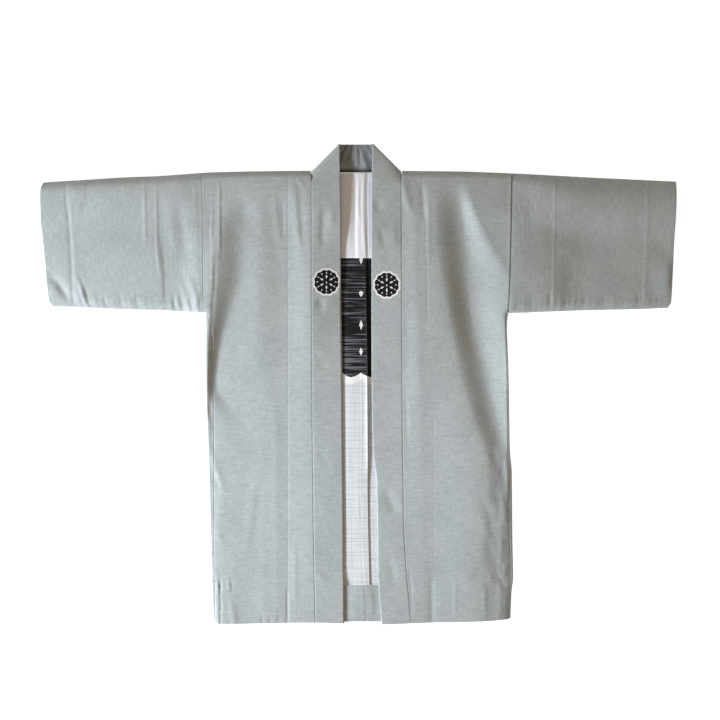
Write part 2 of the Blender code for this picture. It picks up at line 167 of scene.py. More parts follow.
# The collar: a strip folded along its free edge, and folded over at 45 degrees by the neck.
# Its levels by the free edge, from which the edge itself drops where it lies on the back:
# y, right z, left z.
COLLAR_EDGE_LEVELS = (
    (HEM_LEVEL, 4.2, 4.6), (-392, 4.2, 4.6), (-368, 2.8, 4.4), (0, 2.8, 4.5),
    (150, 3.2, 5.2), (248, 5.2, 6.8), (277, 6.8, 8.2), (317, 9.8, 10),
    (358, 11.2, 11.2), (417, 12, 12), (466, 12.6, 12.4),
)
COLLAR_DROP = {-1: 0.8, 1: 0.1}
COLLAR_DROP_SHARE = 0.06
COLLAR_STANDS = (150, 250)
COLLAR_ON_SEAM = {-1: -0.1, 1: -0.45}
COLLAR_BACK_Z = 1.3
COLLAR_HALF = 0.6
COLLAR_FOLD = 2.4
COLLAR_CORNER_Y = 411.6
COLLAR_LOW_Y = 413.4
COLLAR_HIGH_Y = 466
COLLAR_BEHIND_Y = 468.2
COLLAR_FOLD_SUM = {-1: 501.9, 1: 494.5}
COLLAR_STRAIGHT = 392

# White patch inside the back, under the collar: its size, the steps of its grid, and how far
# past the back seam's allowance it is raised.
PATCH_HALF_WIDTH = 150
PATCH_TOP = 412.4
PATCH_BOTTOM = 246.5
PATCH_ROW = 4
PATCH_COLUMN = 2.2
SEAM_ROOM = (4.5, 3.5)
SEAM_CLIMB = 3

# Swells of the fronts: crests and hollows in order from the wearer's right to left, each as
# rows of y, x, rise above the edges. A last line at each collar seam carries the collar.
RIGHT_SWELLS = (
    ((417, -303, 1.2), (340, -303, 2.6), (290, -302, 5.6), (240, -302, 7.2), (165, -302, 8.6),
     (110, -303, 9.6), (50, -304, 8.8), (0, -304, 6.4), (-60, -303, 3.8), (-200, -300, 3),
     (-465, -292, 2.6)),
    ((417, -285, 1.6), (340, -280, 3.2), (290, -278, 7), (240, -286, 8.8), (165, -291, 9.4),
     (110, -298, 9.6), (50, -301, 8.6), (0, -301, 6), (-60, -290, 3.6), (-200, -276, 3.2),
     (-330, -272, 3.6), (-465, -270, 4.4)),
    ((417, -222, 1.2), (340, -222, 0.6), (290, -224, 0.2), (240, -224, -0.8), (165, -238, -1.2),
     (110, -257, -0.8), (50, -272, 0), (0, -276, 0.4), (-40, -250, 0.6), (-80, -208, 0.6),
     (-140, -192, 0.7), (-465, -190, 1)),
    ((417, -187, 1.4), (290, -187, 1), (165, -192, 0.9), (110, -198, 1), (50, -200, 1),
     (0, -190, 0.8), (-60, -166, 0.4), (-465, -162, 0.4)),
    ((417, -150, 1), (340, -150, 0.2), (240, -148, -0.8), (165, -140, -1), (87, -140, -0.7),
     (0, -140, -0.6), (-100, -140, -0.6), (-380, -138, -0.5), (-465, -138, -0.1)),
    ((417, -92, 3.4), (340, -91, 4), (240, -91, 4.4), (165, -90, 4), (87, -90, 2.4),
     (0, -89, 0.9), (-100, -88, 0.4), (-465, -84, 0.8)),
)
LEFT_SWELLS = (
    ((417, 86, 3.4), (340, 86, 4.2), (240, 86, 4.4), (165, 86, 4), (87, 86, 2.4),
     (0, 86, 0.9), (-100, 87, 0.5), (-300, 91, 0.7), (-465, 104, 1.6)),
    ((417, 112, 3.4), (340, 114, 5.6), (240, 116, 6.3), (165, 119, 6.2), (87, 122, 5.2),
     (0, 124, 3.6), (-100, 127, 2.2), (-300, 132, 1.4), (-465, 140, 1.8)),
    ((417, 150, 3.6), (380, 150, 5.8), (340, 149, 6.9), (290, 150, 7.5), (240, 156, 7.7),
     (203, 161, 7.7), (165, 168, 7.5), (126, 175, 7), (87, 183, 6.4), (48, 190, 5.9),
     (9, 199, 5.6), (-30, 210, 5.6), (-69, 222, 5.9), (-128, 242, 6.4), (-200, 252, 6.6),
     (-300, 244, 6.4), (-400, 240, 6.2), (-465, 236, 6)),
    ((417, 189, 2), (380, 194, 0.8), (340, 200, -0.2), (290, 206, -0.8), (240, 213, -1.4),
     (203, 216, -1.8), (165, 220, -2), (126, 225, -2), (87, 232, -1.9), (48, 241, -1.7),
     (9, 250, -1.4), (-30, 259, -1), (-69, 268, -0.2), (-110, 279, 1), (-147, 286, 3),
     (-200, 278, 4.4), (-465, 272, 4.6)),
    ((417, 206, 4), (398, 210, 5.2), (340, 228, 8.2), (317, 238, 9.6), (280, 258, 11.6),
     (248, 276, 13.2), (225, 290, 14), (203, 298, 14.4), (165, 302, 14.6), (126, 303, 14.4),
     (87, 304, 13.6), (48, 305, 12.2), (9, 306, 10), (-30, 306, 7.6), (-69, 306, 5.2),
     (-110, 304, 3.4), (-147, 303, 2.4), (-200, 302, 2), (-465, 300, 1.8)),
    ((417, 318, 3), (380, 318, 5.2), (317, 318, 12), (248, 318, 14.2), (203, 319, 14.6),
     (165, 320, 14.6), (87, 320, 13.6), (9, 320, 10), (-69, 320, 5.2), (-147, 320, 2.4),
     (-465, 320, 1.8)),
)

# How much higher the side folds stand than the other edges: y, rise.
SIDE_RISE = {
    -1: ((UNDERARM, 7), (95, 8), (50, 7.4), (0, 6.4), (-60, 5.4), (-110, 4),
         (-160, 3.2), (-380, 3), (HEM_LEVEL, 2.2)),
    1: ((UNDERARM, 11), (90, 11.8), (60, 11.5), (9, 8.5), (-30, 5.5), (-69, 3.6),
        (-147, 1.6), (HEM_LEVEL, 1)),
}

# How far the sleeves' top layer rises: x, rise.
SLEEVE_RISE = (
    (-620, 0.6), (-560, 1.6), (-480, 2), (-405, 2.6), (-380, 1.6), (-340, 2.2),
    (340, 9.6), (386, 8), (450, 5.6), (540, 3.2), (620, 1),
)
ARMHOLE_BLEND = {-1: 50, 1: 150}

# Creases of the wearer's right front. A row of this table and the next ones is how far a crease
# spreads at lower x and at higher x, how high it stands, the share of its length over which each
# end fades, and the points of its line.
RIGHT_FRONT = (
    (3.2, 3.2, -0.4, 0.3, (-289, 380), (-289, 270), (-288, 170)),
    (2.4, 2.6, 0.4, 0.4, (-284, 240), (-283, 168)),
    (3, 3.6, -0.55, 0.3, (-277, 282), (-279, 210), (-284, 130), (-291, 57)),
    (3, 2.6, -0.45, 0.35, (-280, 372), (-279, 320), (-281, 262)),
    (2, 2.2, 0.45, 0.4, (-286, 312), (-285, 284)),
    (2.6, 2.8, 0.58, 0.2, (-270, 402), (-270, 250)),
    (15, 11, -0.9, 0.4, (-230, 374), (-220, 335), (-212, 306)),
    (12, 12, 0.55, 0.45, (-186, 372), (-190, 320), (-196, 280)),
    (5, 6, 0.55, 0.4, (-256, 392), (-206, 398)),
    (2.4, 3, -0.2, 0.2, (-265, 414), (-265, 225)),
    (2, 2, -0.3, 0.4, (-302, 241), (-288, 240)),
    (2.4, 1.6, -0.3, 0.02, (-136, 415), (-136, 120), (-137, -60), (-136, -464)),
    (12, 10, 0.5, 0.4, (-146, 330), (-144, 180)),
    (9, 5, 0.9, 0.35, (-126, 410), (-121, 330), (-114, 275), (-108, 235)),
    (5, 6, -0.5, 0.4, (-113, 405), (-109, 330), (-105, 262)),
    (3.4, 2.6, 0.8, 0.4, (-120, 404), (-99, 380)),
    (8, 4.5, 0.6, 0.4, (-164, 392), (-157, 310), (-149, 255)),
    (3, 3, -0.38, 0.4, (-147, 375), (-145, 272)),
    (2, 2.2, -0.2, 0.1, (-298, 1), (-218, 1)),
    (2, 2.2, -0.08, 0.1, (-218, 1), (-95, -1)),
    (17, 5, 0.8, 0.4, (-276, 1), (-208, 1)),
    (8, 14, 0.5, 0.4, (-272, -120), (-270, -300)),
    (4, 4, -0.5, 0.4, (-290, -100), (-275, -124)),
    (4, 5, -0.9, 0.4, (-296, -30), (-286, -64)),
    (4, 4, 0.6, 0.4, (-294, -70), (-284, -92)),
    (6, 7, 0.75, 0.4, (-291, -118), (-276, -170), (-258, -232)),
    (5, 6, -0.75, 0.4, (-288, -160), (-272, -196), (-262, -214)),
    (4, 4, -0.55, 0.4, (-290, -208), (-266, -214), (-246, -226)),
    (5, 5, -0.5, 0.45, (-284, -238), (-272, -256)),
    (7, 8, 0.55, 0.45, (-286, -262), (-268, -300), (-254, -336)),
    (10, 8, 0.45, 0.45, (-190, -130), (-208, -260), (-224, -370)),
    (5, 4, 0.7, 0.4, (-288, -345), (-272, -376)),
    (2.2, 2.6, -0.75, 0.15, (-269, -372), (-268, -425), (-268, -500)),
    (2.6, 2.2, 0.95, 0.45, (-274, -380), (-272, -410)),
    (3, 3, 0.5, 0.45, (-253, -376), (-250, -408)),
    (3, 3, -0.35, 0.45, (-247, -376), (-245, -412)),
    (6, 7, 0.6, 0.25, (-252, -415), (-243, -440), (-240, -490)),
    (3, 3, -0.5, 0.35, (-186, -440), (-187, -500)),
    (2.6, 2.6, -0.4, 0.35, (-171, -445), (-171, -500)),
    (3, 3, -0.45, 0.35, (-155, -440), (-154, -500)),
    (6, 6, 0.45, 0.4, (-122, -284), (-124, -370), (-121, -462)),
    (2.8, 1.8, -0.65, 0.25, (-138, -385), (-137, -500)),
)

# Creases of the wearer's left front.
LEFT_FRONT = (
    (7, 9, 1.5, 0.35, (84, 410), (95, 360), (106, 322)),
    (8, 3.4, -1.3, 0.35, (125, 404), (128, 350), (131, 306)),
    (3.4, 5, 0.45, 0.35, (137, 398), (137, 300), (136, 210)),
    (1.8, 1.8, -0.26, 0.15, (133, 402), (134, 240), (135, 90)),
    (1.8, 1.8, -0.13, 0.1, (147, -30), (148, -240), (149, -464)),
    (3.4, 3.4, -0.4, 0.4, (93, 0), (95, -60), (96, -128)),
    (4, 4, -0.45, 0.35, (99, -342), (103, -400), (105, -464)),
    (15, 13, -0.65, 0.35, (143, -356), (144, -420), (145, -500)),
    (4.5, 4, -0.45, 0.3, (143, -356), (144, -420), (145, -500)),
    (4, 3, 0.35, 0.35, (190, -365), (190, -464)),
    (5, 4, 0.45, 0.4, (246, -380), (248, -464)),
    (4, 5, 0.6, 0.35, (234, 146), (262, 141), (290, 133)),
    (2, 2.2, -0.1, 0.1, (92, 2), (200, 3), (291, 3)),
    (2.4, 3, -0.3, 0.4, (270, 5), (300, 4)),
    (9, 8, -0.8, 0.45, (258, -110), (270, -150), (274, -182)),
    (7, 6, -0.9, 0.4, (276, -130), (284, -165), (282, -220)),
    (4, 3, 0.45, 0.4, (290, -140), (293, -190), (291, -240)),
    (10, 8, -1, 0.45, (240, -214), (254, -250), (266, -306)),
    (7, 7, 0.5, 0.45, (262, -225), (274, -256)),
    (5, 5, 0.7, 0.45, (280, -215), (287, -250), (286, -284)),
    (11, 9, -0.8, 0.45, (250, -296), (262, -340)),
    (6, 5, 0.55, 0.45, (278, -294), (282, -326)),
    (7, 6, -0.7, 0.45, (252, -336), (274, -350), (290, -366)),
    (5, 5, -0.8, 0.45, (266, -352), (278, -382), (294, -406)),
    (8, 6, 0.6, 0.45, (254, -360), (264, -396)),
    (3.4, 3.4, 0.5, 0.45, (288, -350), (285, -378)),
)

# Creases of the sleeves: the press lines, the cuffs' stitched hems and the pulls by them.
SLEEVES = (
    (4, 3.4, -0.75, 0.05, (-570, 384), (-564, 320), (-559, 240), (-556, 158)),
    (4, 5, 0.25, 0.2, (-561, 380), (-551, 240), (-549, 160)),
    (8, 16, 1.5, 0.25, (-588, 377), (-500, 383), (-415, 391)),
    (16, 6, 0.9, 0.4, (-533, 392), (-540, 352), (-549, 318)),
    (5, 5, -0.25, 0.4, (-538, 375), (-537, 309)),
    (7, 7, -2.2, 0.3, (-612, 212), (-586, 202), (-574, 182), (-557, 158)),
    (10, 8, 1.1, 0.45, (-600, 192), (-586, 168)),
    (9, 4, 0.8, 0.4, (-545, 196), (-530, 176), (-522, 152)),
    (3, 3, 0.7, 0.2, (-416, 396), (-414, 262)),
    (2.8, 3, 0.7, 0.2, (-393, 398), (-393, 280), (-385, 200)),
    (15, 3, 1, 0.35, (-388, 292), (-382, 220), (-381, 130)),
    (12, 12, 0.6, 0.4, (-370, 392), (-362, 300), (-350, 215)),
    (12, 10, -0.85, 0.4, (-352, 378), (-340, 290), (-330, 225)),
    (3.6, 3.6, 0.35, 0.4, (-318, 396), (-316, 330)),
    (2.6, 3, -0.28, 0.3, (-310, 396), (-309, 200)),
    (7, 5, 0.9, 0.35, (-335, 222), (-320, 185), (-305, 150)),
    (6, 4, 0.6, 0.4, (-352, 210), (-338, 178), (-330, 150)),
    (2.2, 2.2, 0.36, 0.04, (383, 402), (382, 290), (380, 150)),
    (48, 20, 2.1, 0.45, (387, 262), (384, 200), (382, 126)),
    (12, 10, -0.4, 0.45, (334, 380), (338, 300)),
    (12, 14, 0.3, 0.45, (352, 340), (360, 240)),
    (26, 22, -0.3, 0.45, (450, 350), (456, 220)),
    (20, 24, 0.6, 0.45, (520, 372), (512, 240)),
    (4, 4, 0.32, 0.05, (562, 388), (564, 300), (558, 150)),
    (3, 2.4, -0.45, 0.35, (554, 186), (553, 150)),
    (22, 9, 2.4, 0.4, (604, 252), (602, 160)),
    (7, 7, -0.75, 0.4, (572, 268), (612, 260)),
)

# Creases of the sleeves' under sides, raised from the floor.
UNDER_SLEEVES = (
    (3, 3, 0.4, 0.1, (-566, 380), (-562, 260), (-558, 158)),
    (8, 5, 0.7, 0.4, (-548, 160), (-536, 200), (-530, 250)),
    (10, 7, 0.6, 0.4, (-450, 396), (-440, 300), (-446, 210)),
    (6, 9, 0.8, 0.4, (-384, 150), (-380, 230), (-388, 310)),
    (6, 5, 0.7, 0.4, (-330, 150), (-338, 200), (-350, 240)),
    (7, 5, 0.7, 0.4, (330, 150), (342, 210), (352, 270)),
    (2.6, 2.6, 0.4, 0.06, (384, 400), (383, 280), (380, 150)),
    (9, 8, 0.6, 0.4, (440, 390), (452, 310), (446, 230)),
    (3.4, 3.4, 0.4, 0.08, (566, 386), (564, 280), (560, 152)),
    (6, 6, 0.6, 0.4, (552, 156), (540, 196), (534, 236)),
)

# Pulls along the underarm seams: their strength on each side, how far under the seam they start,
# their width and fade, where they bend, and then x at the seam, length, lean, height.
PULL_STRENGTH = {-1: 2, 1: 1.3}
PULL_START = 4
PULL_WIDTH = 3.2
PULL_FADE = 0.45
PULL_BEND = (0.4, 0.5)
UNDERARM_PULLS = (
    (-555, 26, 2, -0.5), (-545, 34, 4, 0.4), (-529, 66, -22, 0.7), (-521, 46, -16, -0.6),
    (-509, 34, -10, 0.35), (-491, 30, -6, -0.45), (-476, 24, 0, 0.35), (-460, 30, -4, -0.4),
    (-444, 22, 2, 0.35), (-431, 32, 0, -0.45), (-418, 24, 3, 0.35), (-396, 20, 0, -0.3),
    (-366, 24, 2, 0.35), (-357, 34, -3, -0.45), (-348, 38, -6, 0.45), (-340, 26, -4, -0.5),
    (-328, 36, -8, 0.45), (-322, 30, -6, -0.5), (-312, 40, -6, 0.5), (-305, 30, -2, -0.4),
    (308, 24, 3, -0.35), (322, 34, 2, 0.3), (338, 38, 0, -0.4), (354, 26, 2, 0.3),
    (372, 46, 2, -0.6), (391, 34, 6, 0.4), (402, 26, 4, -0.45), (417, 36, 8, 0.4),
    (440, 34, 3, -0.4), (461, 26, 2, 0.3), (480, 30, 0, -0.35), (499, 30, -3, 0.35),
    (520, 26, -4, -0.35), (546, 42, 0, -0.5), (566, 30, 0, 0.4), (586, 26, -3, -0.35),
)

# Creases across and along the collar's two front lengths.
COLLAR_CREASES = (
    (6, 9, -1.5, 0.4, (-66, 360), (-70, 300), (-68, 255)),
    (7, 7, 0.9, 0.4, (-50, 350), (-52, 300)),
    (1.8, 2.4, -0.3, 0.4, (-90, 2), (-32, 0)),
    (12, 10, -1.35, 0.4, (-84, 160), (-60, 150)),
    (5, 4, -0.52, 0.4, (-84, 84), (-40, 78)),
    (5, 4, -0.6, 0.4, (-84, 44), (-50, 28)),
    (5, 4, -0.45, 0.4, (-84, -24), (-40, -20)),
    (7, 6, -0.52, 0.4, (-80, -132), (-60, -136)),
    (4, 5, -0.5, 0.4, (-80, -360), (-56, -374), (-34, -376)),
    (3, 3, 0.4, 0.4, (-80, -372), (-60, -388)),
    (9, 9, -1.35, 0.4, (36, 362), (42, 334)),
    (6, 6, -1.05, 0.4, (42, 310), (54, 262)),
    (8, 8, 0.75, 0.4, (68, 330), (72, 250)),
    (5, 4, -0.68, 0.4, (36, 42), (68, 36)),
    (5, 4, -0.75, 0.4, (30, -8), (84, -8)),
    (5, 4, -0.68, 0.4, (34, -46), (80, -46)),
    (5, 4, -0.6, 0.4, (36, -78), (84, -80)),
    (11, 10, -1.2, 0.4, (50, -200), (78, -260)),
    (9, 8, -0.75, 0.4, (60, -330), (74, -400)),
)

# Wrinkles of the collar behind the neck, seen on its inner face.
NECK_WRINKLES = (
    (4, 4, 1, 0.3, (-24, 466), (-20, 440), (-22, 414)),
    (3, 3, 1, 0.3, (-10, 466), (-12, 436)),
    (3, 3, 1.2, 0.3, (-3, 466), (-1, 440), (-3, 416)),
    (3.4, 3, 0.8, 0.3, (7, 460), (10, 432)),
    (3, 3, 0.6, 0.3, (15, 466), (13, 420)),
    (4, 4, 1, 0.3, (-64, 430), (-30, 424)),
)

# Soft waves of the back where it shows in the opening, and like ones under the fronts.
BACK_WAVES = (
    (5, 9, 0.7, 0.06, (-21, 220), (-19, 0), (-18, -385)),
    (3, 3.6, 0.45, 0.2, (-9, 120), (-6, -100), (-4, -380)),
    (2.4, 2.6, 0.4, 0.2, (1, 20), (2, -200), (6, -370)),
    (10, 8, 0.6, 0.3, (-150, 300), (-158, 60), (-150, -200)),
    (9, 12, 0.7, 0.3, (-226, 260), (-214, 40), (-222, -260)),
    (12, 9, 0.7, 0.3, (150, 280), (164, 40), (190, -160)),
    (8, 10, 0.6, 0.3, (232, 240), (240, 0), (236, -300)),
    (7, 9, 0.7, 0.4, (-280, 60), (-268, -40), (-274, -140)),
    (8, 6, 0.6, 0.4, (-110, -180), (-104, -300), (-112, -420)),
    (4, 4, 0.5, 0.3, (-250, -380), (-246, -430), (-248, -470)),
    (7, 9, 0.6, 0.4, (96, 120), (104, -60), (98, -220)),
    (6, 8, 0.7, 0.4, (276, 20), (262, -90), (270, -200)),
    (4, 4, 0.5, 0.3, (150, -370), (146, -430), (148, -470)),
    (3, 2.6, 0.9, 0.2, (24, -400), (27, -430), (26, -464)),
    (3, 3, 0.5, 0.2, (-4, -392), (-8, -420), (-2, -464)),
    (1.6, 1.6, 0.4, 0.1, (14.6, -394), (15.2, -464)),
)

# Patch: folds of the white cloth inside the neck.
PATCH_WAVES = (
    (5, 5, 0.7, 0.2, (-14, 410), (-12, 330), (-20, 250)),
    (2.4, 2.4, 0.8, 0.3, (2, 410), (0, 340), (6, 300)),
    (2.6, 2.4, 0.8, 0.2, (11, 410), (9, 330), (14, 250)),
    (2.4, 2.4, 0.6, 0.2, (20, 410), (21, 250)),
)


def smooth(t):
    """Ease from 0 to 1 as t goes from 0 to 1."""
    t = np.clip(t, 0.0, 1.0)
    return t * t * (3.0 - 2.0 * t)


def mix(a, b, t):
    return a + (b - a) * t


def by_side(x, pair):
    """One of a pair of values, by the side on which x lies."""
    return np.where(x < 0, pair[-1], pair[1])


def shares(steps):
    """Even steps from 0 to 1."""
    return np.linspace(0.0, 1.0, steps + 1)


def steps_between(start, end, step):
    """Even steps from start to end, each of about this size."""
    return np.linspace(start, end, max(2, int(round(abs(end - start) / step)) + 1))


def points_of(x, y, z):
    """Points with these coordinates, spread to one shape."""
    return np.stack(np.broadcast_arrays(x, y, z), -1).astype(float)


def follow(table, at, column=1):
    """Values at places on the smooth line through a table's rows, which never overshoots."""
    rows = np.array(sorted((row[0], row[column]) for row in table), float)
    x, y = rows[:, 0], rows[:, 1]
    rises = np.diff(y) / np.diff(x)
    before, after = rises[:-1], rises[1:]
    total = np.where(before * after > 0, before + after, 1.0)
    inner = np.where(before * after > 0, 2 * before * after / total, 0.0)
    tilt = np.concatenate(([rises[0]], inner, [rises[-1]]))
    at = np.clip(at, x[0], x[-1])
    i = np.clip(np.searchsorted(x, at, side="left") - 1, 0, len(rises) - 1)
    width = x[i + 1] - x[i]
    t = (at - x[i]) / width
    bend = (1 - t) * (tilt[i] - rises[i]) - t * (tilt[i + 1] - rises[i])
    return mix(y[i], y[i + 1], t) + t * (1 - t) * width * bend


def rounded(line):
    """A line of straight runs with its corners cut twice, so that it bends softly."""
    points = np.array(line, float)
    for _ in range(2 if len(points) > 2 else 0):
        first, second = (mix(points[:-1], points[1:], share) for share in (0.25, 0.75))
        cut = np.stack([first, second], 1).reshape(-1, 2)
        points = np.concatenate([points[:1], cut[1:-1], points[-1:]])
    return points


def beside(line, x, y):
    """Distance of points from a line, below zero on its low-x side, and the share of its length."""
    runs = np.diff(line, axis=0)
    lengths = np.hypot(runs[:, 0], runs[:, 1])
    starts = np.concatenate(([0.0], np.cumsum(lengths)[:-1]))
    best = np.full(np.broadcast(x, y).shape, np.inf)
    share = np.zeros_like(best)
    for (x0, y0), (run_x, run_y), length, start in zip(line[:-1], runs, lengths, starts):
        t = np.clip(((x - x0) * run_x + (y - y0) * run_y) / length ** 2, 0.0, 1.0)
        away = np.hypot(x - x0 - t * run_x, y - y0 - t * run_y)
        side = ((x - x0) * run_y - (y - y0) * run_x) * (-1 if run_y < 0 else 1)
        closer = away < np.abs(best)
        best = np.where(closer, np.where(side > 0, away, -away), best)
        share = np.where(closer, (start + t * length) / lengths.sum(), share)
    return best, share


def relief(creases, x, y):
    """Height of a table of creases at points."""
    total = np.zeros(np.broadcast(x, y).shape)
    for low_side, high_side, height, fade, *line in creases:
        away, share = beside(rounded(line), x, y)
        spread = np.where(away < 0, low_side, high_side)
        ends = smooth(share / fade) * smooth((1 - share) / fade)
        total += height * np.exp(-(away / spread) ** 2) * ends
    return total


def underarm_creases():
    """The short pulls that run up from the underarm seams."""
    pulls = []
    bend_x, bend_y = PULL_BEND
    for x, length, lean, height in UNDERARM_PULLS:
        low = float(follow(SLEEVE_HEM_LINE, x))
        height *= PULL_STRENGTH[-1 if x < 0 else 1]
        pulls.append((PULL_WIDTH, PULL_WIDTH, height, PULL_FADE, (x, low - PULL_START),
                      (x + lean * bend_x, low + length * bend_y), (x + lean, low + length)))
    return tuple(pulls)


def outline():
    """Edges where the top layer turns down to the back, apart from the shoulders."""
    lines = []
    for side in (-1, 1):
        lines.append([(x, y) for x, y in SLEEVE_HEM_LINE if x * side > 0])
        lines.append([(row[SIDE_FOLD[side]], row[0]) for row in SIDE_LINES])
    return [np.array(line, float) for line in lines]


TOP_CREASES = RIGHT_FRONT + LEFT_FRONT + SLEEVES + underarm_creases()
OUTLINE = outline()


def armhole_x(side, y):
    return follow(ARMHOLE_LINES, y, OF_TWO[side])


def swell(lines, x, y):
    """Height of a front's swells: eased from each crest or hollow to the next."""
    places, heights = ([follow(line, y, column) for line in lines] for column in (1, 2))
    total = heights[0]
    for i in range(len(lines) - 1):
        share = (x - places[i]) / (places[i + 1] - places[i])
        total = total + (heights[i + 1] - heights[i]) * smooth(share)
    return total


def sleeve_share(x, y):
    """0 on the body, easing to 1 a way out on the sleeves."""
    right, left = (side * (x - armhole_x(side, y)) / ARMHOLE_BLEND[side] for side in (-1, 1))
    return smooth(np.maximum(right, left))


def top_rise(x, y):
    """Rise of the whole top layer above its edges, before its creases."""
    start, end = CENTRE_BLEND
    leftward = smooth((x - start) / (end - start))
    body = mix(swell(RIGHT_SWELLS, x, y), swell(LEFT_SWELLS, x, y), leftward)
    return mix(body, follow(SLEEVE_RISE, x), sleeve_share(x, y))


def shoulder_roll(x, y, shoulder):
    """Rounding of the shoulders, wide on the left sleeve and narrow elsewhere."""
    sleeve = sleeve_share(x, y)
    width = mix(SHOULDER_WIDTH, by_side(x, SLEEVE_ROLL_WIDTH), sleeve)
    room = mix(SHOULDER_ROOM, by_side(x, SLEEVE_ROOM), sleeve)
    roll = 1 - np.clip(1 - shoulder / width, 0.0, 1.0) ** 2
    return room * roll * (1 - smooth((shoulder - width) / SHOULDER_FADE))


def top_z(x, y):
    """Height of the middle of the top layer: low at the edges, with swells and creases on it."""
    shoulder = np.maximum(follow(SHOULDER_LINE, x) - y, 0.0)
    sides = np.minimum.reduce([np.abs(beside(line, x, y)[0]) for line in OUTLINE])
    level = top_rise(x, y) * smooth(shoulder / SHOULDER_FADE) + shoulder_roll(x, y, shoulder)
    edge = by_side(x, {side: follow(SIDE_RISE[side], y) for side in (-1, 1)})
    edge = edge * (1 - sleeve_share(x, y))
    level = EDGE_Z + mix(edge, level, smooth(sides / EASE))
    inside = np.minimum(shoulder, sides)
    return level + relief(TOP_CREASES, x, y) * smooth(inside / CREASE_EASE)


def row_y(level, x, hem_column):
    """Place of a cross row: its own level, bent to run along the shoulder or the hem."""
    top = follow(SHOULDER_LINE, x) - NECK_TOP
    low = follow(HEM_LINES, x, hem_column) - HEM_LEVEL
    by_top = smooth((level - NECK_TOP + EDGE_FADE) / EDGE_FADE)
    by_hem = smooth((HEM_LEVEL + EDGE_FADE - level) / EDGE_FADE)
    return level + top * by_top + low * by_hem


def half_turn(steps):
    """Steps between the ends of a half turn: how far out, and how far across, from 0 to 1."""
    angles = np.linspace(0.0, math.pi, steps + 1)[1:-1]
    return list(zip(np.sin(angles), (1 - np.cos(angles)) / 2))


def turn_over(start, end, steps, axis, reach):
    """Lines of points that lead from one line to another round a half turn."""
    lines = []
    for out, across in half_turn(steps):
        line = mix(start, end, across)
        line[..., axis] += reach * out
        lines.append(line)
    return lines


# Cloth pieces: a flat grid is laid on its points.
Cloth = namedtuple("Cloth", "piece width length area")


def mean_step(steps):
    """Mean length of the steps from one row to the next, leaving out what is cut away."""
    return np.nan_to_num(np.nanmean(np.linalg.norm(steps, axis=-1), axis=1))


def cut_lines(points):
    """Places of a piece's columns and rows on its flat cut, in metres."""
    across = mean_step(np.swapaxes(np.diff(points, axis=1), 0, 1))
    along = mean_step(np.diff(points, axis=0))
    return [np.concatenate(([0.0], np.cumsum(steps))) * MILLIMETRE for steps in (across, along)]


def put_in(name, data):
    """A new object in the scene."""
    made = bpy.data.objects.new(name, data)
    bpy.context.scene.collection.objects.link(made)
    return made


def mesh_object(name, shape, materials):
    """An object made from a bmesh, which is then freed."""
    mesh = bpy.data.meshes.new(name)
    shape.to_mesh(mesh)
    shape.free()
    for material in materials:
        mesh.materials.append(material)
    return put_in(name, mesh)


def lay(name, points, materials, closed=False):
    """One piece of cloth: the flat grid of its cut, laid on its points, with its thickness."""
    rows, columns = points.shape[:2]
    across, along = cut_lines(points)
    cut = bmesh.new()
    bmesh.ops.create_grid(cut, x_segments=columns - 1, y_segments=rows - 1, size=1.0)
    sides = cut.loops.layers.uv.new("cut")
    place = {}
    for vertex in cut.verts:
        column = round((vertex.co.x + 1) / 2 * (columns - 1))
        row = round((vertex.co.y + 1) / 2 * (rows - 1))
        place[vertex] = (row, column)
    for face in cut.faces:
        face.smooth = True
        for loop in face.loops:
            row, column = place[loop.vert]
            loop[sides].uv = (across[column], along[row])
    whole = ~np.isnan(points[:, :, 0])
    waste = [vertex for vertex, spot in place.items() if not whole[spot]]
    for vertex, spot in place.items():
        if whole[spot]:
            vertex.co = Vector(points[spot] * MILLIMETRE)
    bmesh.ops.delete(cut, geom=waste, context="VERTS")
    if closed:
        bmesh.ops.remove_doubles(cut, verts=cut.verts, dist=WELD * MILLIMETRE)
    piece = mesh_object(name, cut, materials)
    wall = piece.modifiers.new("cloth thickness", "SOLIDIFY")
    wall.thickness = THREAD_WALL * MILLIMETRE
    wall.offset = 0.0
    wall.material_offset = len(materials) - 1
    piece.modifiers.new("crisp rims", "WEIGHTED_NORMAL")
    cells = whole[:-1, :-1] & whole[1:, :-1] & whole[:-1, 1:] & whole[1:, 1:]
    area = float((cells * np.outer(np.diff(along), np.diff(across))).sum())
    return Cloth(piece, float(across[-1]), float(along[-1]), area)


# Body: front and back of each side in one length over the shoulder.
FRONT_COLUMNS = 116
CENTRE_COLUMNS = 16
ALLOWANCE_COLUMNS = 8
STEP_COLUMNS = 3
TURN_STEPS = 6
HEM_STEPS = 4
SEAM_COLUMNS = 7
OUTER_COUNT = TURN_STEPS - 1 + SEAM_COLUMNS
CENTRE_COUNT = CENTRE_COLUMNS + STEP_COLUMNS + ALLOWANCE_COLUMNS
FRONT_ROW = 5.0
FRONT_HEM_ROW = 9.0
SHOULDER_ROW = 2.0
BACK_ROW = 8.0
ARMHOLE_RISE = 0.35
ARMHOLE_SPREAD = 4.5
SHOULDER_START = NECK_TOP - CLOTH / 2 - TURN
HEM_START = HEM_LEVEL + CLOTH / 2 + HEM_TURN
BACK_START = NECK_SEAM - 4
CORNER = 2.4


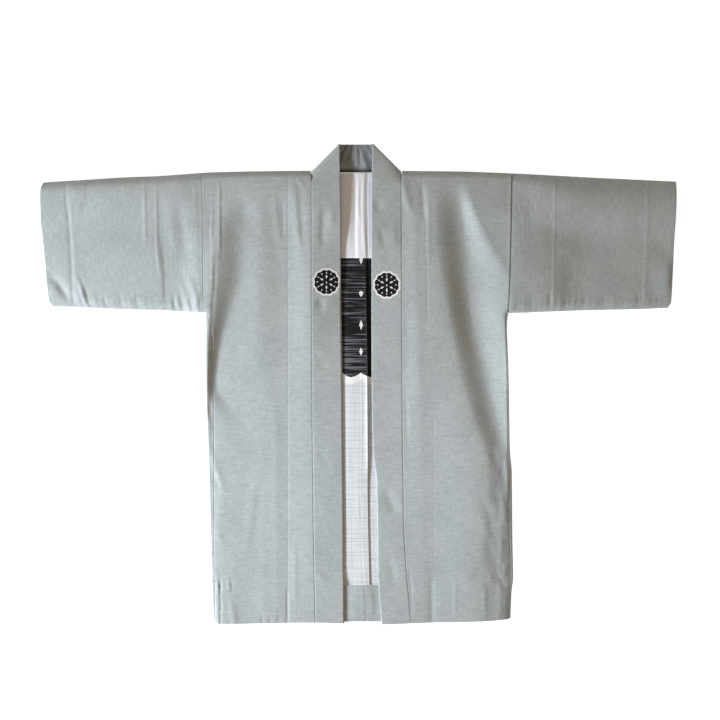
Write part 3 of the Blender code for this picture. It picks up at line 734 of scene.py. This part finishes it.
def front_points(side, level, drop=0.0):
    """Rows of a front from its side seam or armhole to its collar seam, drop inside it."""
    by_seam = follow(SIDE_LINES, level, SIDE_SEAM[side])
    outer = np.where(level > UNDERARM, armhole_x(side, level), by_seam)
    inner = follow(COLLAR_LINES, level, COLLAR_SEAM[side]) + side * SEAM_GAP
    near_neck = smooth((level - NECK_TOP + CORNER_RISE) / CORNER_EASE)
    x = mix(outer, mix(inner, NECK_CORNER[side], near_neck), shares(FRONT_COLUMNS))
    y = row_y(level, x, 1)
    rise = ARMHOLE_RISE * np.exp(-((x - armhole_x(side, y)) / ARMHOLE_SPREAD) ** 2)
    return points_of(x, y, top_z(x, y) + np.where(level > UNDERARM, rise, 0.0) - drop)


def back_points(side, level, in_hem):
    """Rows of a back: the front's columns, then those across to the back seam."""
    fold = follow(SIDE_LINES, level, SIDE_FOLD[side]) - side * (CLOTH / 2 + TURN)
    outer = np.where(level > UNDERARM, armhole_x(side, level), fold)
    outer = outer - (SEAM_GAP * side if in_hem else 0.0)
    seam = follow(BACK_SEAM_LINES, level, 1)
    edge = seam - SEAM_STEP if side < 0 else seam + LAYER
    if in_hem:
        edge = seam + side * SEAM_GAP / 2
    x = np.concatenate([mix(outer, NECK_CORNER[side], shares(FRONT_COLUMNS)),
                        mix(NECK_CORNER[side], edge, shares(CENTRE_COLUMNS)[1:])], axis=1)
    y = np.where(level >= NECK_SEAM, level, row_y(level, x, 2))
    y = np.where((x - NECK_CORNER[side]) * side < 0, np.minimum(y, NECK_SEAM), row_y(level, x, 2))
    z = BACK_Z + (LAYER if in_hem else 0.0)
    if side < 0 or in_hem:
        by_seam = smooth(1 - (seam - SEAM_STEP - x) * -side / SEAM_RISE_WIDTH)
        z = z + seam_rise(level) * by_seam
    main = points_of(x, y, z + relief(BACK_WAVES, x, y))
    return np.concatenate([main, allowance_points(side, level, in_hem)], axis=1)


def seam_rise(level):
    """How far the right back and the hem's turned layers rise to the back seam."""
    return SEAM_RISE * smooth((level - HEM_LEVEL - SEAM_RISE_START) / SEAM_RISE_FADE)


def allowance_points(side, level, in_hem):
    """The back seam's allowance, which the right back has: a step up, then a lifted edge."""
    if side > 0 or in_hem:
        return np.full((len(level), STEP_COLUMNS + ALLOWANCE_COLUMNS, 3), np.nan)
    seam, edge = (follow(BACK_SEAM_LINES, level, column) for column in (1, 2))
    climb = shares(STEP_COLUMNS)[1:]
    spread = shares(ALLOWANCE_COLUMNS)[1:]
    x = np.concatenate([mix(seam - SEAM_STEP, seam + SEAM_STEP / 4, climb),
                        mix(seam + SEAM_STEP / 4, edge, spread)], axis=1)
    lift = follow(ALLOWANCE_LIFT, level) * spread ** ALLOWANCE_CURL
    z = np.concatenate([mix(seam_rise(level), LAYER, smooth(climb)), LAYER + lift], axis=1)
    return points_of(x, np.minimum(NECK_SEAM, row_y(level, x, 2)), BACK_Z + z)


def side_wrap(side, points, level):
    """Columns that carry a back round its side fold and over to the side seam."""
    start = points[:, :1]
    seam_x = follow(SIDE_LINES, level, SIDE_SEAM[side]) + side * SEAM_GAP
    x = mix(start[:, :, 0], seam_x, shares(SEAM_COLUMNS - 1))
    y = start[:, :, 1]
    strip = points_of(x, y, top_z(x, y))
    turns = turn_over(start, strip[:, :1], TURN_STEPS, 0, side * TURN)
    wrapped = np.concatenate(turns + [strip], axis=1)[:, ::-1]
    return np.where((level <= UNDERARM)[:, :, None], wrapped, np.nan)


def framed(points, before, after):
    """Rows of points with columns before and after them that are cut away."""
    first, last = (np.full((len(points), count, 3), np.nan) for count in (before, after))
    return np.concatenate([first, points, last], axis=1)


def body_points(side):
    """Points of one half of the body, row by row: the front's hem, the front and the back."""
    low = np.array([[HEM_START]])
    neck = NECK_TOP - 2 * CORNER_RISE
    rows = np.concatenate([steps_between(HEM_START, UNDERARM, FRONT_ROW),
                           steps_between(UNDERARM + CORNER, neck, FRONT_ROW),
                           steps_between(neck, SHOULDER_START, SHOULDER_ROW)[1:]])
    hem_rows = steps_between(HEM_START + HEM_DEPTH, HEM_START, FRONT_HEM_ROW)
    folded, outside = (front_points(side, low, drop) for drop in (LAYER, 0.0))
    crest = front_points(side, np.array([[SHOULDER_START]]))
    behind = crest.copy()
    behind[:, :, 2] = BACK_Z
    fronts = [
        front_points(side, hem_rows[:, None], LAYER),
        *turn_over(folded, outside, HEM_STEPS, 1, -HEM_TURN),
        front_points(side, rows[:, None]),
        *turn_over(crest, behind, TURN_STEPS, 1, TURN), behind,
    ]
    levels = np.concatenate([[NECK_SEAM],
                             steps_between(BACK_START, UNDERARM + CORNER, BACK_ROW),
                             steps_between(UNDERARM, HEM_START, BACK_ROW)])[:, None]
    back = back_points(side, levels, False)
    back[levels[:, 0] < ALLOWANCE_END, -ALLOWANCE_COLUMNS:] = np.nan
    outer = back_points(side, low, False)
    outer[:, -ALLOWANCE_COLUMNS - STEP_COLUMNS:] = np.nan
    hem_rows = steps_between(HEM_START, HEM_START + HEM_DEPTH, BACK_ROW)
    hem = [*turn_over(outer, back_points(side, low, True), HEM_STEPS, 1, -HEM_TURN),
           back_points(side, hem_rows[:, None], True)]
    points = np.concatenate([
        *(framed(block, OUTER_COUNT, CENTRE_COUNT) for block in fronts),
        np.concatenate([side_wrap(side, back, levels), back], axis=1),
        *(framed(block, OUTER_COUNT, 0) for block in hem),
    ])
    return points if side < 0 else points[:, ::-1]


# Sleeves: flattened tubes with the cuff's hem turned inside.
SLEEVE_AROUND = 34
SLEEVE_STEP = 2.2
CUFF_STEP = 8.0
SLEEVE_END = 610.0
SLEEVE_LENGTH = 325.0
ARMHOLE_DIP = -0.25


def sleeve_rings(side, share, drop):
    """Rings of a sleeve, from armhole (0) to cuff (1), drop inside its outer wall."""
    half = CLOTH / 2 + TURN
    radius = TURN - drop
    top_x = mix(armhole_x(side, NECK_TOP), side * SLEEVE_END, share)
    low_x = mix(armhole_x(side, UNDERARM), side * SLEEVE_END, share)
    high = follow(SHOULDER_LINE, top_x) - half
    low = follow(SLEEVE_HEM_LINE, low_x) + half
    y = mix(low, high, shares(SLEEVE_AROUND))
    start = armhole_x(side, y) + side * SEAM_GAP
    end = follow(CUFF_LINES, y, OF_TWO[side]) - side * (CLOTH / 2 + HEM_TURN)
    x = mix(start, end, share)
    dip = ARMHOLE_DIP * np.exp(-((x - start) / ARMHOLE_SPREAD) ** 2)
    under = points_of(x, y, BACK_Z + drop + relief(UNDER_SLEEVES, x, y))
    upper = points_of(x, y, top_z(x, y) + dip - drop)
    return np.concatenate([
        under, *turn_over(under[:, -1:], upper[:, -1:], TURN_STEPS, 1, radius),
        upper[:, ::-1], *turn_over(upper[:, :1], under[:, :1], TURN_STEPS, 1, -radius),
        under[:, :1],
    ], axis=1)


def sleeve_points(side):
    """Points of a sleeve: rings out to the cuff, round its edge, and back inside the hem."""
    share = steps_between(0.0, 1.0, SLEEVE_STEP / SLEEVE_LENGTH)[:, None]
    outer = sleeve_rings(side, share, 0.0)
    inner = sleeve_rings(side, share[-1:], LAYER)
    reach = 1.0 - CUFF_DEPTH / SLEEVE_LENGTH
    hem = steps_between(1.0, reach, CUFF_STEP / SLEEVE_LENGTH)[:, None]
    points = np.concatenate([
        outer, *turn_over(outer[-1:], inner, HEM_STEPS, 0, side * HEM_TURN),
        sleeve_rings(side, hem, LAYER),
    ])
    return points if side > 0 else points[:, ::-1]


# Collar: a long strip folded in two along its free edge.
COLLAR_SPLITS = 16
COLLAR_RIM_SPLITS = 5
COLLAR_EDGE_STEPS = 5
COLLAR_ROW = 5.0
COLLAR_FOLD_STEPS = 8
FOLD_SHARE = 0.12
NECK_ROW = 3.0
NECK_WIDTH = 170.0


def fold_ends(side, turned=0.0):
    """Ends of the collar's slanted fold: where it starts (0), and where its turn ends (1)."""
    total = COLLAR_FOLD_SUM[side]
    low_y = mix(COLLAR_CORNER_Y, COLLAR_LOW_Y, turned)
    low_x = side * (total - low_y)
    low = (low_x, low_y, float(top_z(low_x, COLLAR_CORNER_Y)) + COLLAR_ON_SEAM[side])
    edge_z = float(follow(COLLAR_EDGE_LEVELS, COLLAR_HIGH_Y, OF_TWO[side]))
    high_y = mix(COLLAR_HIGH_Y, COLLAR_BEHIND_Y, turned)
    high = (side * (total - high_y), high_y, edge_z)
    return np.array(low), np.array(high)


def collar_front(side):
    """Seam and edge points of one front length of the collar, from the hem to its fold."""
    level = steps_between(HEM_LEVEL + CLOTH / 2, COLLAR_STRAIGHT, COLLAR_ROW)
    seam_x, edge_x = (follow(COLLAR_LINES, level, column[side])
                      for column in (COLLAR_SEAM, COLLAR_EDGE))
    seam_y, edge_y = row_y(level, seam_x, 1), row_y(level, edge_x, 1)
    seam = points_of(seam_x, seam_y, top_z(seam_x, seam_y) + COLLAR_ON_SEAM[side])
    edge = points_of(edge_x, edge_y, follow(COLLAR_EDGE_LEVELS, edge_y, OF_TWO[side]))
    share = steps_between(0.0, 1.0, FOLD_SHARE)[1:-1, None]
    return [np.concatenate([line, mix(line[-1], end, share)])
            for line, end in zip((seam, edge), fold_ends(side))]


def collar_fold(side):
    """Seam and edge points round the half turn at one 45-degree fold."""
    lines = [[], []]
    for out, across in [(0.0, 0.0)] + half_turn(COLLAR_FOLD_STEPS) + [(0.0, 1.0)]:
        reach = math.sqrt(0.5) * COLLAR_FOLD * out
        for line, end in zip(lines, fold_ends(side, across)):
            height = mix(end[2], COLLAR_BACK_Z, across)
            line.append((end[0] + side * reach, end[1] + reach, height))
    return [np.array(line) for line in lines]


def collar_middle():
    """Middle surface of the collar: rows along it, columns from its seam to its free edge."""
    right, left = ([np.concatenate(pair) for pair in zip(collar_front(side), collar_fold(side))]
                   for side in (-1, 1))
    count = len(right[0])
    across = steps_between(0.0, 1.0, NECK_ROW / NECK_WIDTH)[1:-1, None]
    seam, edge = (np.concatenate([first, mix(first[-1], second[-1], across), second[::-1]])
                  for first, second in zip(right, left))
    inner = 1 - COLLAR_DROP_SHARE
    share = np.concatenate([mix(0.0, inner, shares(COLLAR_SPLITS)),
                            mix(inner, 1.0, shares(COLLAR_RIM_SPLITS))[1:]])
    middle = mix(seam[:, None], edge[:, None], share[None, :, None])
    x, y = middle[:, :, 0], middle[:, :, 1]
    lying = 1 - smooth((y - COLLAR_STANDS[0]) / (COLLAR_STANDS[1] - COLLAR_STANDS[0]))
    drop = by_side(x, COLLAR_DROP) * smooth((share - inner) / COLLAR_DROP_SHARE) * lying
    middle[:, :, 2] -= drop
    row = np.arange(len(middle))[:, None]
    from_end = np.minimum(row, len(middle) - 1 - row)
    before_fold = from_end < count - COLLAR_FOLD_STEPS - 1
    middle[:, :, 2] += np.where(before_fold, relief(COLLAR_CREASES, x, y), 0.0)
    middle[:, :, 2] += np.where(from_end >= count - 2, relief(NECK_WRINKLES, x, y), 0.0)
    return middle


def collar_points():
    """Both layers of the collar: under layer, the turn at the free edge, and upper layer."""
    middle = collar_middle()
    along, across = np.gradient(middle, axis=0), np.gradient(middle, axis=1)
    out = across / np.linalg.norm(across, axis=-1, keepdims=True)
    up = np.cross(along, across)
    up = up / np.linalg.norm(up, axis=-1, keepdims=True)
    up = np.where(up[:1, :1, 2:] < 0, -up, up)
    inward = (COLLAR_HALF + THREAD_WALL / 2) * shares(middle.shape[1] - 1)[:, None]
    middle = middle - out * inward
    columns = [middle - up * COLLAR_HALF]
    edge, rise, away = middle[:, -1:], up[:, -1:], out[:, -1:]
    for reach, turned in half_turn(COLLAR_EDGE_STEPS):
        columns.append(edge + COLLAR_HALF * (away * reach + rise * (2 * turned - 1)))
    columns.append((middle + up * COLLAR_HALF)[:, ::-1])
    return np.concatenate(columns, axis=1)[:, ::-1]


def patch_points():
    """The white patch inside the back, raised where the back seam lies under it."""
    y = steps_between(PATCH_BOTTOM, PATCH_TOP, PATCH_ROW)[:, None]
    x = steps_between(-PATCH_HALF_WIDTH, PATCH_HALF_WIDTH, PATCH_COLUMN)[None, :]
    seam, edge = (follow(BACK_SEAM_LINES, y, column) for column in (1, 2))
    over = (smooth((x - seam + SEAM_ROOM[0]) / SEAM_CLIMB)
            * smooth((edge + SEAM_ROOM[1] - x) / SEAM_CLIMB))
    z = BACK_Z + LAYER + LAYER * over + relief(PATCH_WAVES, x, y) + relief(BACK_WAVES, x, y)
    return points_of(x, y, z)


def math_operator(operation, swapped=False):
    """An operator of Value that adds a Math node."""
    def apply(self, other):
        pair = (other, self) if swapped else (self, other)
        return self.finish.node("ShaderNodeMath", {"operation": operation}, dict(enumerate(pair)))
    return apply


class Value:
    """A socket that gives numbers. Sums with it add Math nodes to its finish."""

    __add__ = __radd__ = math_operator("ADD")
    __mul__ = __rmul__ = math_operator("MULTIPLY")
    __truediv__ = math_operator("DIVIDE")
    __sub__ = math_operator("SUBTRACT")
    __rsub__ = math_operator("SUBTRACT", swapped=True)
    __lt__ = math_operator("LESS_THAN")
    __gt__ = math_operator("GREATER_THAN")

    def __init__(self, finish, socket):
        self.finish = finish
        self.socket = socket

    def math(self, operation, *others):
        values = dict(enumerate((self, *others)))
        return self.finish.node("ShaderNodeMath", {"operation": operation}, values)


class Finish:
    """The node tree of one material."""

    def __init__(self, name):
        self.material = bpy.data.materials.new(name)
        self.material.use_nodes = True
        self.tree = self.material.node_tree
        self.surface = self.tree.nodes["Principled BSDF"]

    def node(self, kind, settings=None, values=None, output=0):
        """Add a node with its settings, then the values or links of its sockets."""
        made = self.tree.nodes.new(kind)
        for name, setting in (settings or {}).items():
            setattr(made, name, setting)
        self.fill(made, values or {})
        return Value(self, made.outputs[output])

    def fill(self, node, values):
        """Give a node's sockets links or values of their own."""
        for key, value in values.items():
            if isinstance(value, Value):
                self.tree.links.new(value.socket, node.inputs[key])
            else:
                node.inputs[key].default_value = value

    def colours(self, share, first, second):
        """Mix of two colours."""
        values = {0: share, 6: first, 7: second}
        return self.node("ShaderNodeMix", {"data_type": "RGBA"}, values, 2)

    def noise(self, vector, scale, detail=2.0):
        """Noise stretched by a scale along each axis, from 0 to 1."""
        vector = self.node("ShaderNodeVectorMath", {"operation": "MULTIPLY"}, {0: vector, 1: scale})
        return self.node("ShaderNodeTexNoise", None,
                         {"Vector": vector, "Scale": 1.0, "Detail": detail})

    def between(self, value, low, high):
        """0 below low, 1 above high, and eased in between."""
        return self.node("ShaderNodeMapRange", {"interpolation_type": "SMOOTHSTEP"},
                         {"Value": value, "From Min": low, "From Max": high})

    def cut(self):
        """Places on the flat cut, in metres."""
        return self.node("ShaderNodeUVMap", {"uv_map": "cut"})

    def spot(self):
        """Object coordinates, in metres."""
        return self.node("ShaderNodeTexCoord", output=3)

    def place(self):
        """Object coordinates as x, y and z, in millimetres."""
        return [part * 1000.0 for part in self.parts(self.spot())]

    def parts(self, vector):
        return [self.node("ShaderNodeSeparateXYZ", None, {0: vector}, axis) for axis in range(3)]


# Colours of the cloth and its dyes. Of a pair, the tone runs from the first to the second.
BLACK = (0.008, 0.008, 0.010, 1.0)
WHITE = (0.90, 0.895, 0.875, 1.0)
GREY_TONES = (0.325, 0.362, 0.368, 1.0), (0.560, 0.600, 0.604, 1.0)
REVERSE_TONES = (0.74, 0.77, 0.80, 1.0), (0.44, 0.47, 0.48, 1.0)
PATCH_TONES = (0.85, 0.86, 0.92, 1.0), (0.94, 0.945, 0.99, 1.0)
STREAK_INK = (0.16, 0.16, 0.18, 1.0)
# Painted shade of the collar's inner face behind the neck, and a near black painted shadow along
# its seam.
NECK_SHADE_TONES = (0.17, 0.185, 0.20, 1.0), (0.46, 0.49, 0.52, 1.0)
SEAM_SHADOW_COLOUR = (0.03, 0.03, 0.032, 1.0)

# Threads of the plain weave, in metres.
THREAD_PITCH = 0.0016
THREAD_DEPTH = 0.00012

# Dyed roundels: centre x, centre y, radius of the black, depth of its scallops, white rim,
# number of scallops. Rings of lozenges on them: radius, number, half width, half length.
Roundel = namedtuple("Roundel", "x y radius scallop rim lobes rings")
BACK_ROUNDEL = Roundel(6, 180, 157, 10, 14, 24,
                       ((0, 1, 9, 9), (64, 6, 3.6, 10), (116, 12, 3.6, 8)))
COLLAR_RINGS = (0, 1, 3, 3), (10.5, 6, 1.9, 4.2), (17.8, 12, 1.3, 2)
COLLAR_ROUNDELS = (Roundel(-61.5, 199.7, 22, 2, 3.6, 12, COLLAR_RINGS),
                   Roundel(56, 194, 22, 2, 3.6, 12, COLLAR_RINGS))

# Roundels show on the back below a height, and on the collar's upper layer above one. Where the
# streaks in the back's black end, leaving plain black past the allowance as painted shade, and
# where the collar's inner face starts and where its painted shade and painted seam shadow lie.
FACE_BELOW = 3.2
REVERSE_BELOW = 5.0
COLLAR_ABOVE = 5.0
STREAKS_END = 16.5
INNER_Z = (4.6, 5.4)
INNER_Y = (413, 415)
SEAM_SHADOW_Y = (414, 426)


def lozenges(finish, radius, angle, ring, count, half_width, half_length):
    """A ring of lozenges round a roundel's centre, as 0 or 1."""
    pitch = 2 * math.pi / count
    turned = (angle + pitch / 2).math("FLOORED_MODULO", pitch)
    aside = (turned - pitch / 2).math("ABSOLUTE") * radius
    out = (radius - ring).math("ABSOLUTE")
    return (aside / half_width + out / half_length) < 1.0


def dyed(finish, cloth, x, y, roundel, shown, ink=BLACK):
    """Cloth with a roundel dyed on it where shown: white rim, black, and white lozenges."""
    dx = x - roundel.x
    dy = y - roundel.y
    radius = (dx * dx + dy * dy).math("SQRT")
    angle = dx.math("ARCTAN2", dy * -1.0)
    wave = (angle * (roundel.lobes / 2)).math("SINE").math("ABSOLUTE")
    edge = wave * roundel.scallop + roundel.radius
    black = radius < edge
    rim = (radius < edge + roundel.rim) - black
    marks = None
    for ring in roundel.rings:
        found = lozenges(finish, radius, angle, *ring)
        marks = found if marks is None else marks.math("MAXIMUM", found)
    for mask, colour in ((rim, WHITE), (black * (1 - marks), ink), (black * marks, WHITE)):
        cloth = finish.colours(mask * shown, cloth, colour)
    return cloth


def yarns(finish, cut):
    """Thick and thin yarns of the slub weave: weft, warp, and the tone of thicker slubs."""
    return (finish.noise(cut, (75, 500, 0)), finish.noise(cut, (500, 60, 0)),
            finish.noise(cut, (45, 200, 0), 1.0))


def finish_cloth(finish, cut, colour, *yarn_heights):
    """The cotton's common finish: matt, with a little sheen and the relief of its weave."""
    u, v, _ = finish.parts(cut)
    threads = 2 * math.pi / THREAD_PITCH
    height = (u * threads).math("SINE") * (v * threads).math("SINE") * 0.5
    for yarn in yarn_heights:
        height = height + yarn
    bump = finish.node("ShaderNodeBump", None,
                       {"Height": height, "Strength": 0.35, "Distance": THREAD_DEPTH})
    finish.fill(finish.surface, {
        "Base Color": colour, "Roughness": 0.92, "Specular IOR Level": 0.25,
        "Sheen Weight": 0.03, "Sheen Roughness": 0.6, "Normal": bump,
    })
    return finish.material


def dyed_grey(finish, cut):
    """Colour of the dyed face before any roundel, and how high its yarns stand."""
    weft, warp, slub = yarns(finish, cut)
    cloud = finish.noise(finish.spot(), (16, 13, 16), 4.0)
    tone = (weft - 0.5) * 0.80 + (warp - 0.5) * 0.80 + (slub - 0.5) * 0.50 + (cloud - 0.5) * 0.55
    return finish.colours(tone + 0.5, *GREY_TONES), (weft, warp * 0.6)


def grey_face():
    """Dyed outer side of the cloth, with the roundel on the back."""
    finish = Finish("grey slub cotton")
    cut = finish.cut()
    cloth, heights = dyed_grey(finish, cut)
    x, y, z = finish.place()
    cloth = dyed(finish, cloth, x, y, BACK_ROUNDEL, z < FACE_BELOW)
    return finish_cloth(finish, cut, cloth, *heights)


def collar_face():
    """Outer side of the collar: two small roundels, and painted shade on the inner face by the
    neck, darkest as a painted shadow along the neck seam.
    """
    finish = Finish("grey slub cotton of the collar")
    cut = finish.cut()
    cloth, heights = dyed_grey(finish, cut)
    x, y, z = finish.place()
    for roundel in COLLAR_ROUNDELS:
        cloth = dyed(finish, cloth, x, y, roundel, z > COLLAR_ABOVE)
    # Painted shade: the inner face behind the neck gets darker streaked tones that stand for the
    # shade of its wrinkles, and a near black painted shadow along the neck seam.
    inside = (1 - finish.between(z, *INNER_Z)) * finish.between(y, *INNER_Y)
    streaks = finish.between(finish.noise(cut, (14, 85, 0)), 0.33, 0.70)
    shaded_streaks = finish.colours(streaks, *NECK_SHADE_TONES)
    painted_neck_shade = finish.colours(finish.between(y, *SEAM_SHADOW_Y), SEAM_SHADOW_COLOUR, shaded_streaks)
    return finish_cloth(finish, cut, finish.colours(inside, cloth, painted_neck_shade), *heights)


def pale_reverse():
    """Undyed reverse of the cloth, where grey slubs and the roundel show through."""
    finish = Finish("off-white reverse of the slub cotton")
    cut = finish.cut()
    weft, warp, slub = yarns(finish, cut)
    across = finish.between(finish.noise(cut, (10, 330, 0), 1.5), 0.44, 0.70)
    along = finish.between(finish.noise(cut, (330, 10, 0), 1.5), 0.46, 0.72)
    band = finish.noise(cut, (60, 1.5, 0), 1.0)
    lines = across * 0.50 + along * 0.32
    grey = lines + (weft - 0.5) * 0.5 + (warp - 0.5) * 0.4 + (band - 0.5) * 0.6
    cloth = finish.colours(grey, *REVERSE_TONES)
    x, y, z = finish.place()
    # Painted shade: the streaks stop at STREAKS_END, so the strip past the allowance's edge shows
    # plain black for the allowance's shadow.
    streaks = finish.between(finish.noise(cut, (12, 310, 0)), 0.49, 0.66) * (x < STREAKS_END)
    ink = finish.colours(streaks, BLACK, STREAK_INK)
    cloth = dyed(finish, cloth, x, y, BACK_ROUNDEL, z < REVERSE_BELOW, ink)
    return finish_cloth(finish, cut, cloth, weft, slub)


def white_patch():
    """Plain white cotton."""
    finish = Finish("white cotton")
    cut = finish.cut()
    weft, warp, _ = yarns(finish, cut)
    tone = (weft - 0.5) * 0.3 + (warp - 0.5) * 0.3 + 0.5
    return finish_cloth(finish, cut, finish.colours(tone, *PATCH_TONES), weft)


# Floor, light and camera, in metres.
FLOOR_RADIUS = 30.0
WINDOW_PLACE = (-2.1, -0.44, 0.71)
WINDOW_AIM = (0.16, -0.20, 0.0)
WINDOW_SIZE = 0.38
WINDOW_POWER = 22.1
WINDOW_COLOUR = (0.84, 0.915, 1.0)
WINDOW_SPREAD = 80.0
ROOM_COLOUR = (1.0, 0.83, 0.65, 1.0)
ROOM_STRENGTH = 0.335
CAMERA_SPAN = 1.404
CAMERA_LENS = 100.0
CAMERA_SENSOR = 36.0
CAMERA_AIM = (0.0039, 0.0476, 0.006)


def make_floor():
    """A wide pale floor."""
    finish = Finish("pale floor")
    finish.fill(finish.surface, {
        "Base Color": (0.90, 0.90, 0.90, 1.0), "Roughness": 0.9,
        "Emission Color": (0.90, 0.95, 1.0, 1.0), "Emission Strength": 0.8,
    })
    ground = bmesh.new()
    bmesh.ops.create_circle(ground, cap_ends=True, segments=64, radius=FLOOR_RADIUS)
    mesh_object("floor", ground, [finish.material])


def make_light():
    """A soft window-like light from the wearer's right, and a dim warm room."""
    light = bpy.data.lights.new("window", "AREA")
    light.shape = "SQUARE"
    light.size = WINDOW_SIZE
    light.energy = WINDOW_POWER
    light.color = WINDOW_COLOUR
    light.spread = math.radians(WINDOW_SPREAD)
    lamp = put_in("window", light)
    lamp.location = WINDOW_PLACE
    direction = Vector(WINDOW_AIM) - Vector(WINDOW_PLACE)
    lamp.rotation_euler = direction.to_track_quat("-Z", "Y").to_euler()
    world = bpy.data.worlds.new("room")
    world.use_nodes = True
    background = world.node_tree.nodes["Background"]
    background.inputs["Color"].default_value = ROOM_COLOUR
    background.inputs["Strength"].default_value = ROOM_STRENGTH
    bpy.context.scene.world = world


def make_camera():
    """A camera straight above the coat."""
    lens = bpy.data.cameras.new("camera")
    lens.lens = CAMERA_LENS
    lens.sensor_width = CAMERA_SENSOR
    camera = put_in("camera", lens)
    height = CAMERA_SPAN * CAMERA_LENS / CAMERA_SENSOR
    camera.location = Vector(CAMERA_AIM) + Vector((0.0, 0.0, height))
    bpy.context.scene.camera = camera


def wear(cloth, node):
    """The piece rides on the coat's one body and stands for its solid, which is hidden."""
    piece = cloth.piece
    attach(piece, "root")
    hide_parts(node)


def main():
    bpy.context.scene.view_settings.view_transform = "Standard"
    make_camera()
    make_light()
    make_floor()
    both_sides = [grey_face(), pale_reverse()]
    for side, name in ((-1, "right"), (1, "left")):
        body = lay(f"{name}_body_cloth", body_points(side), both_sides)
        wear(body, f"{name}_body")
        sleeve = lay(f"{name}_sleeve_cloth", sleeve_points(side), both_sides, closed=True)
        wear(sleeve, f"{name}_sleeve")
    collar = lay("collar_band", collar_points(), [collar_face()])
    wear(collar, "collar")
    patch = lay("shoulder_patch_cloth", patch_points(), [white_patch()])
    wear(patch, "shoulder_patch")


main()
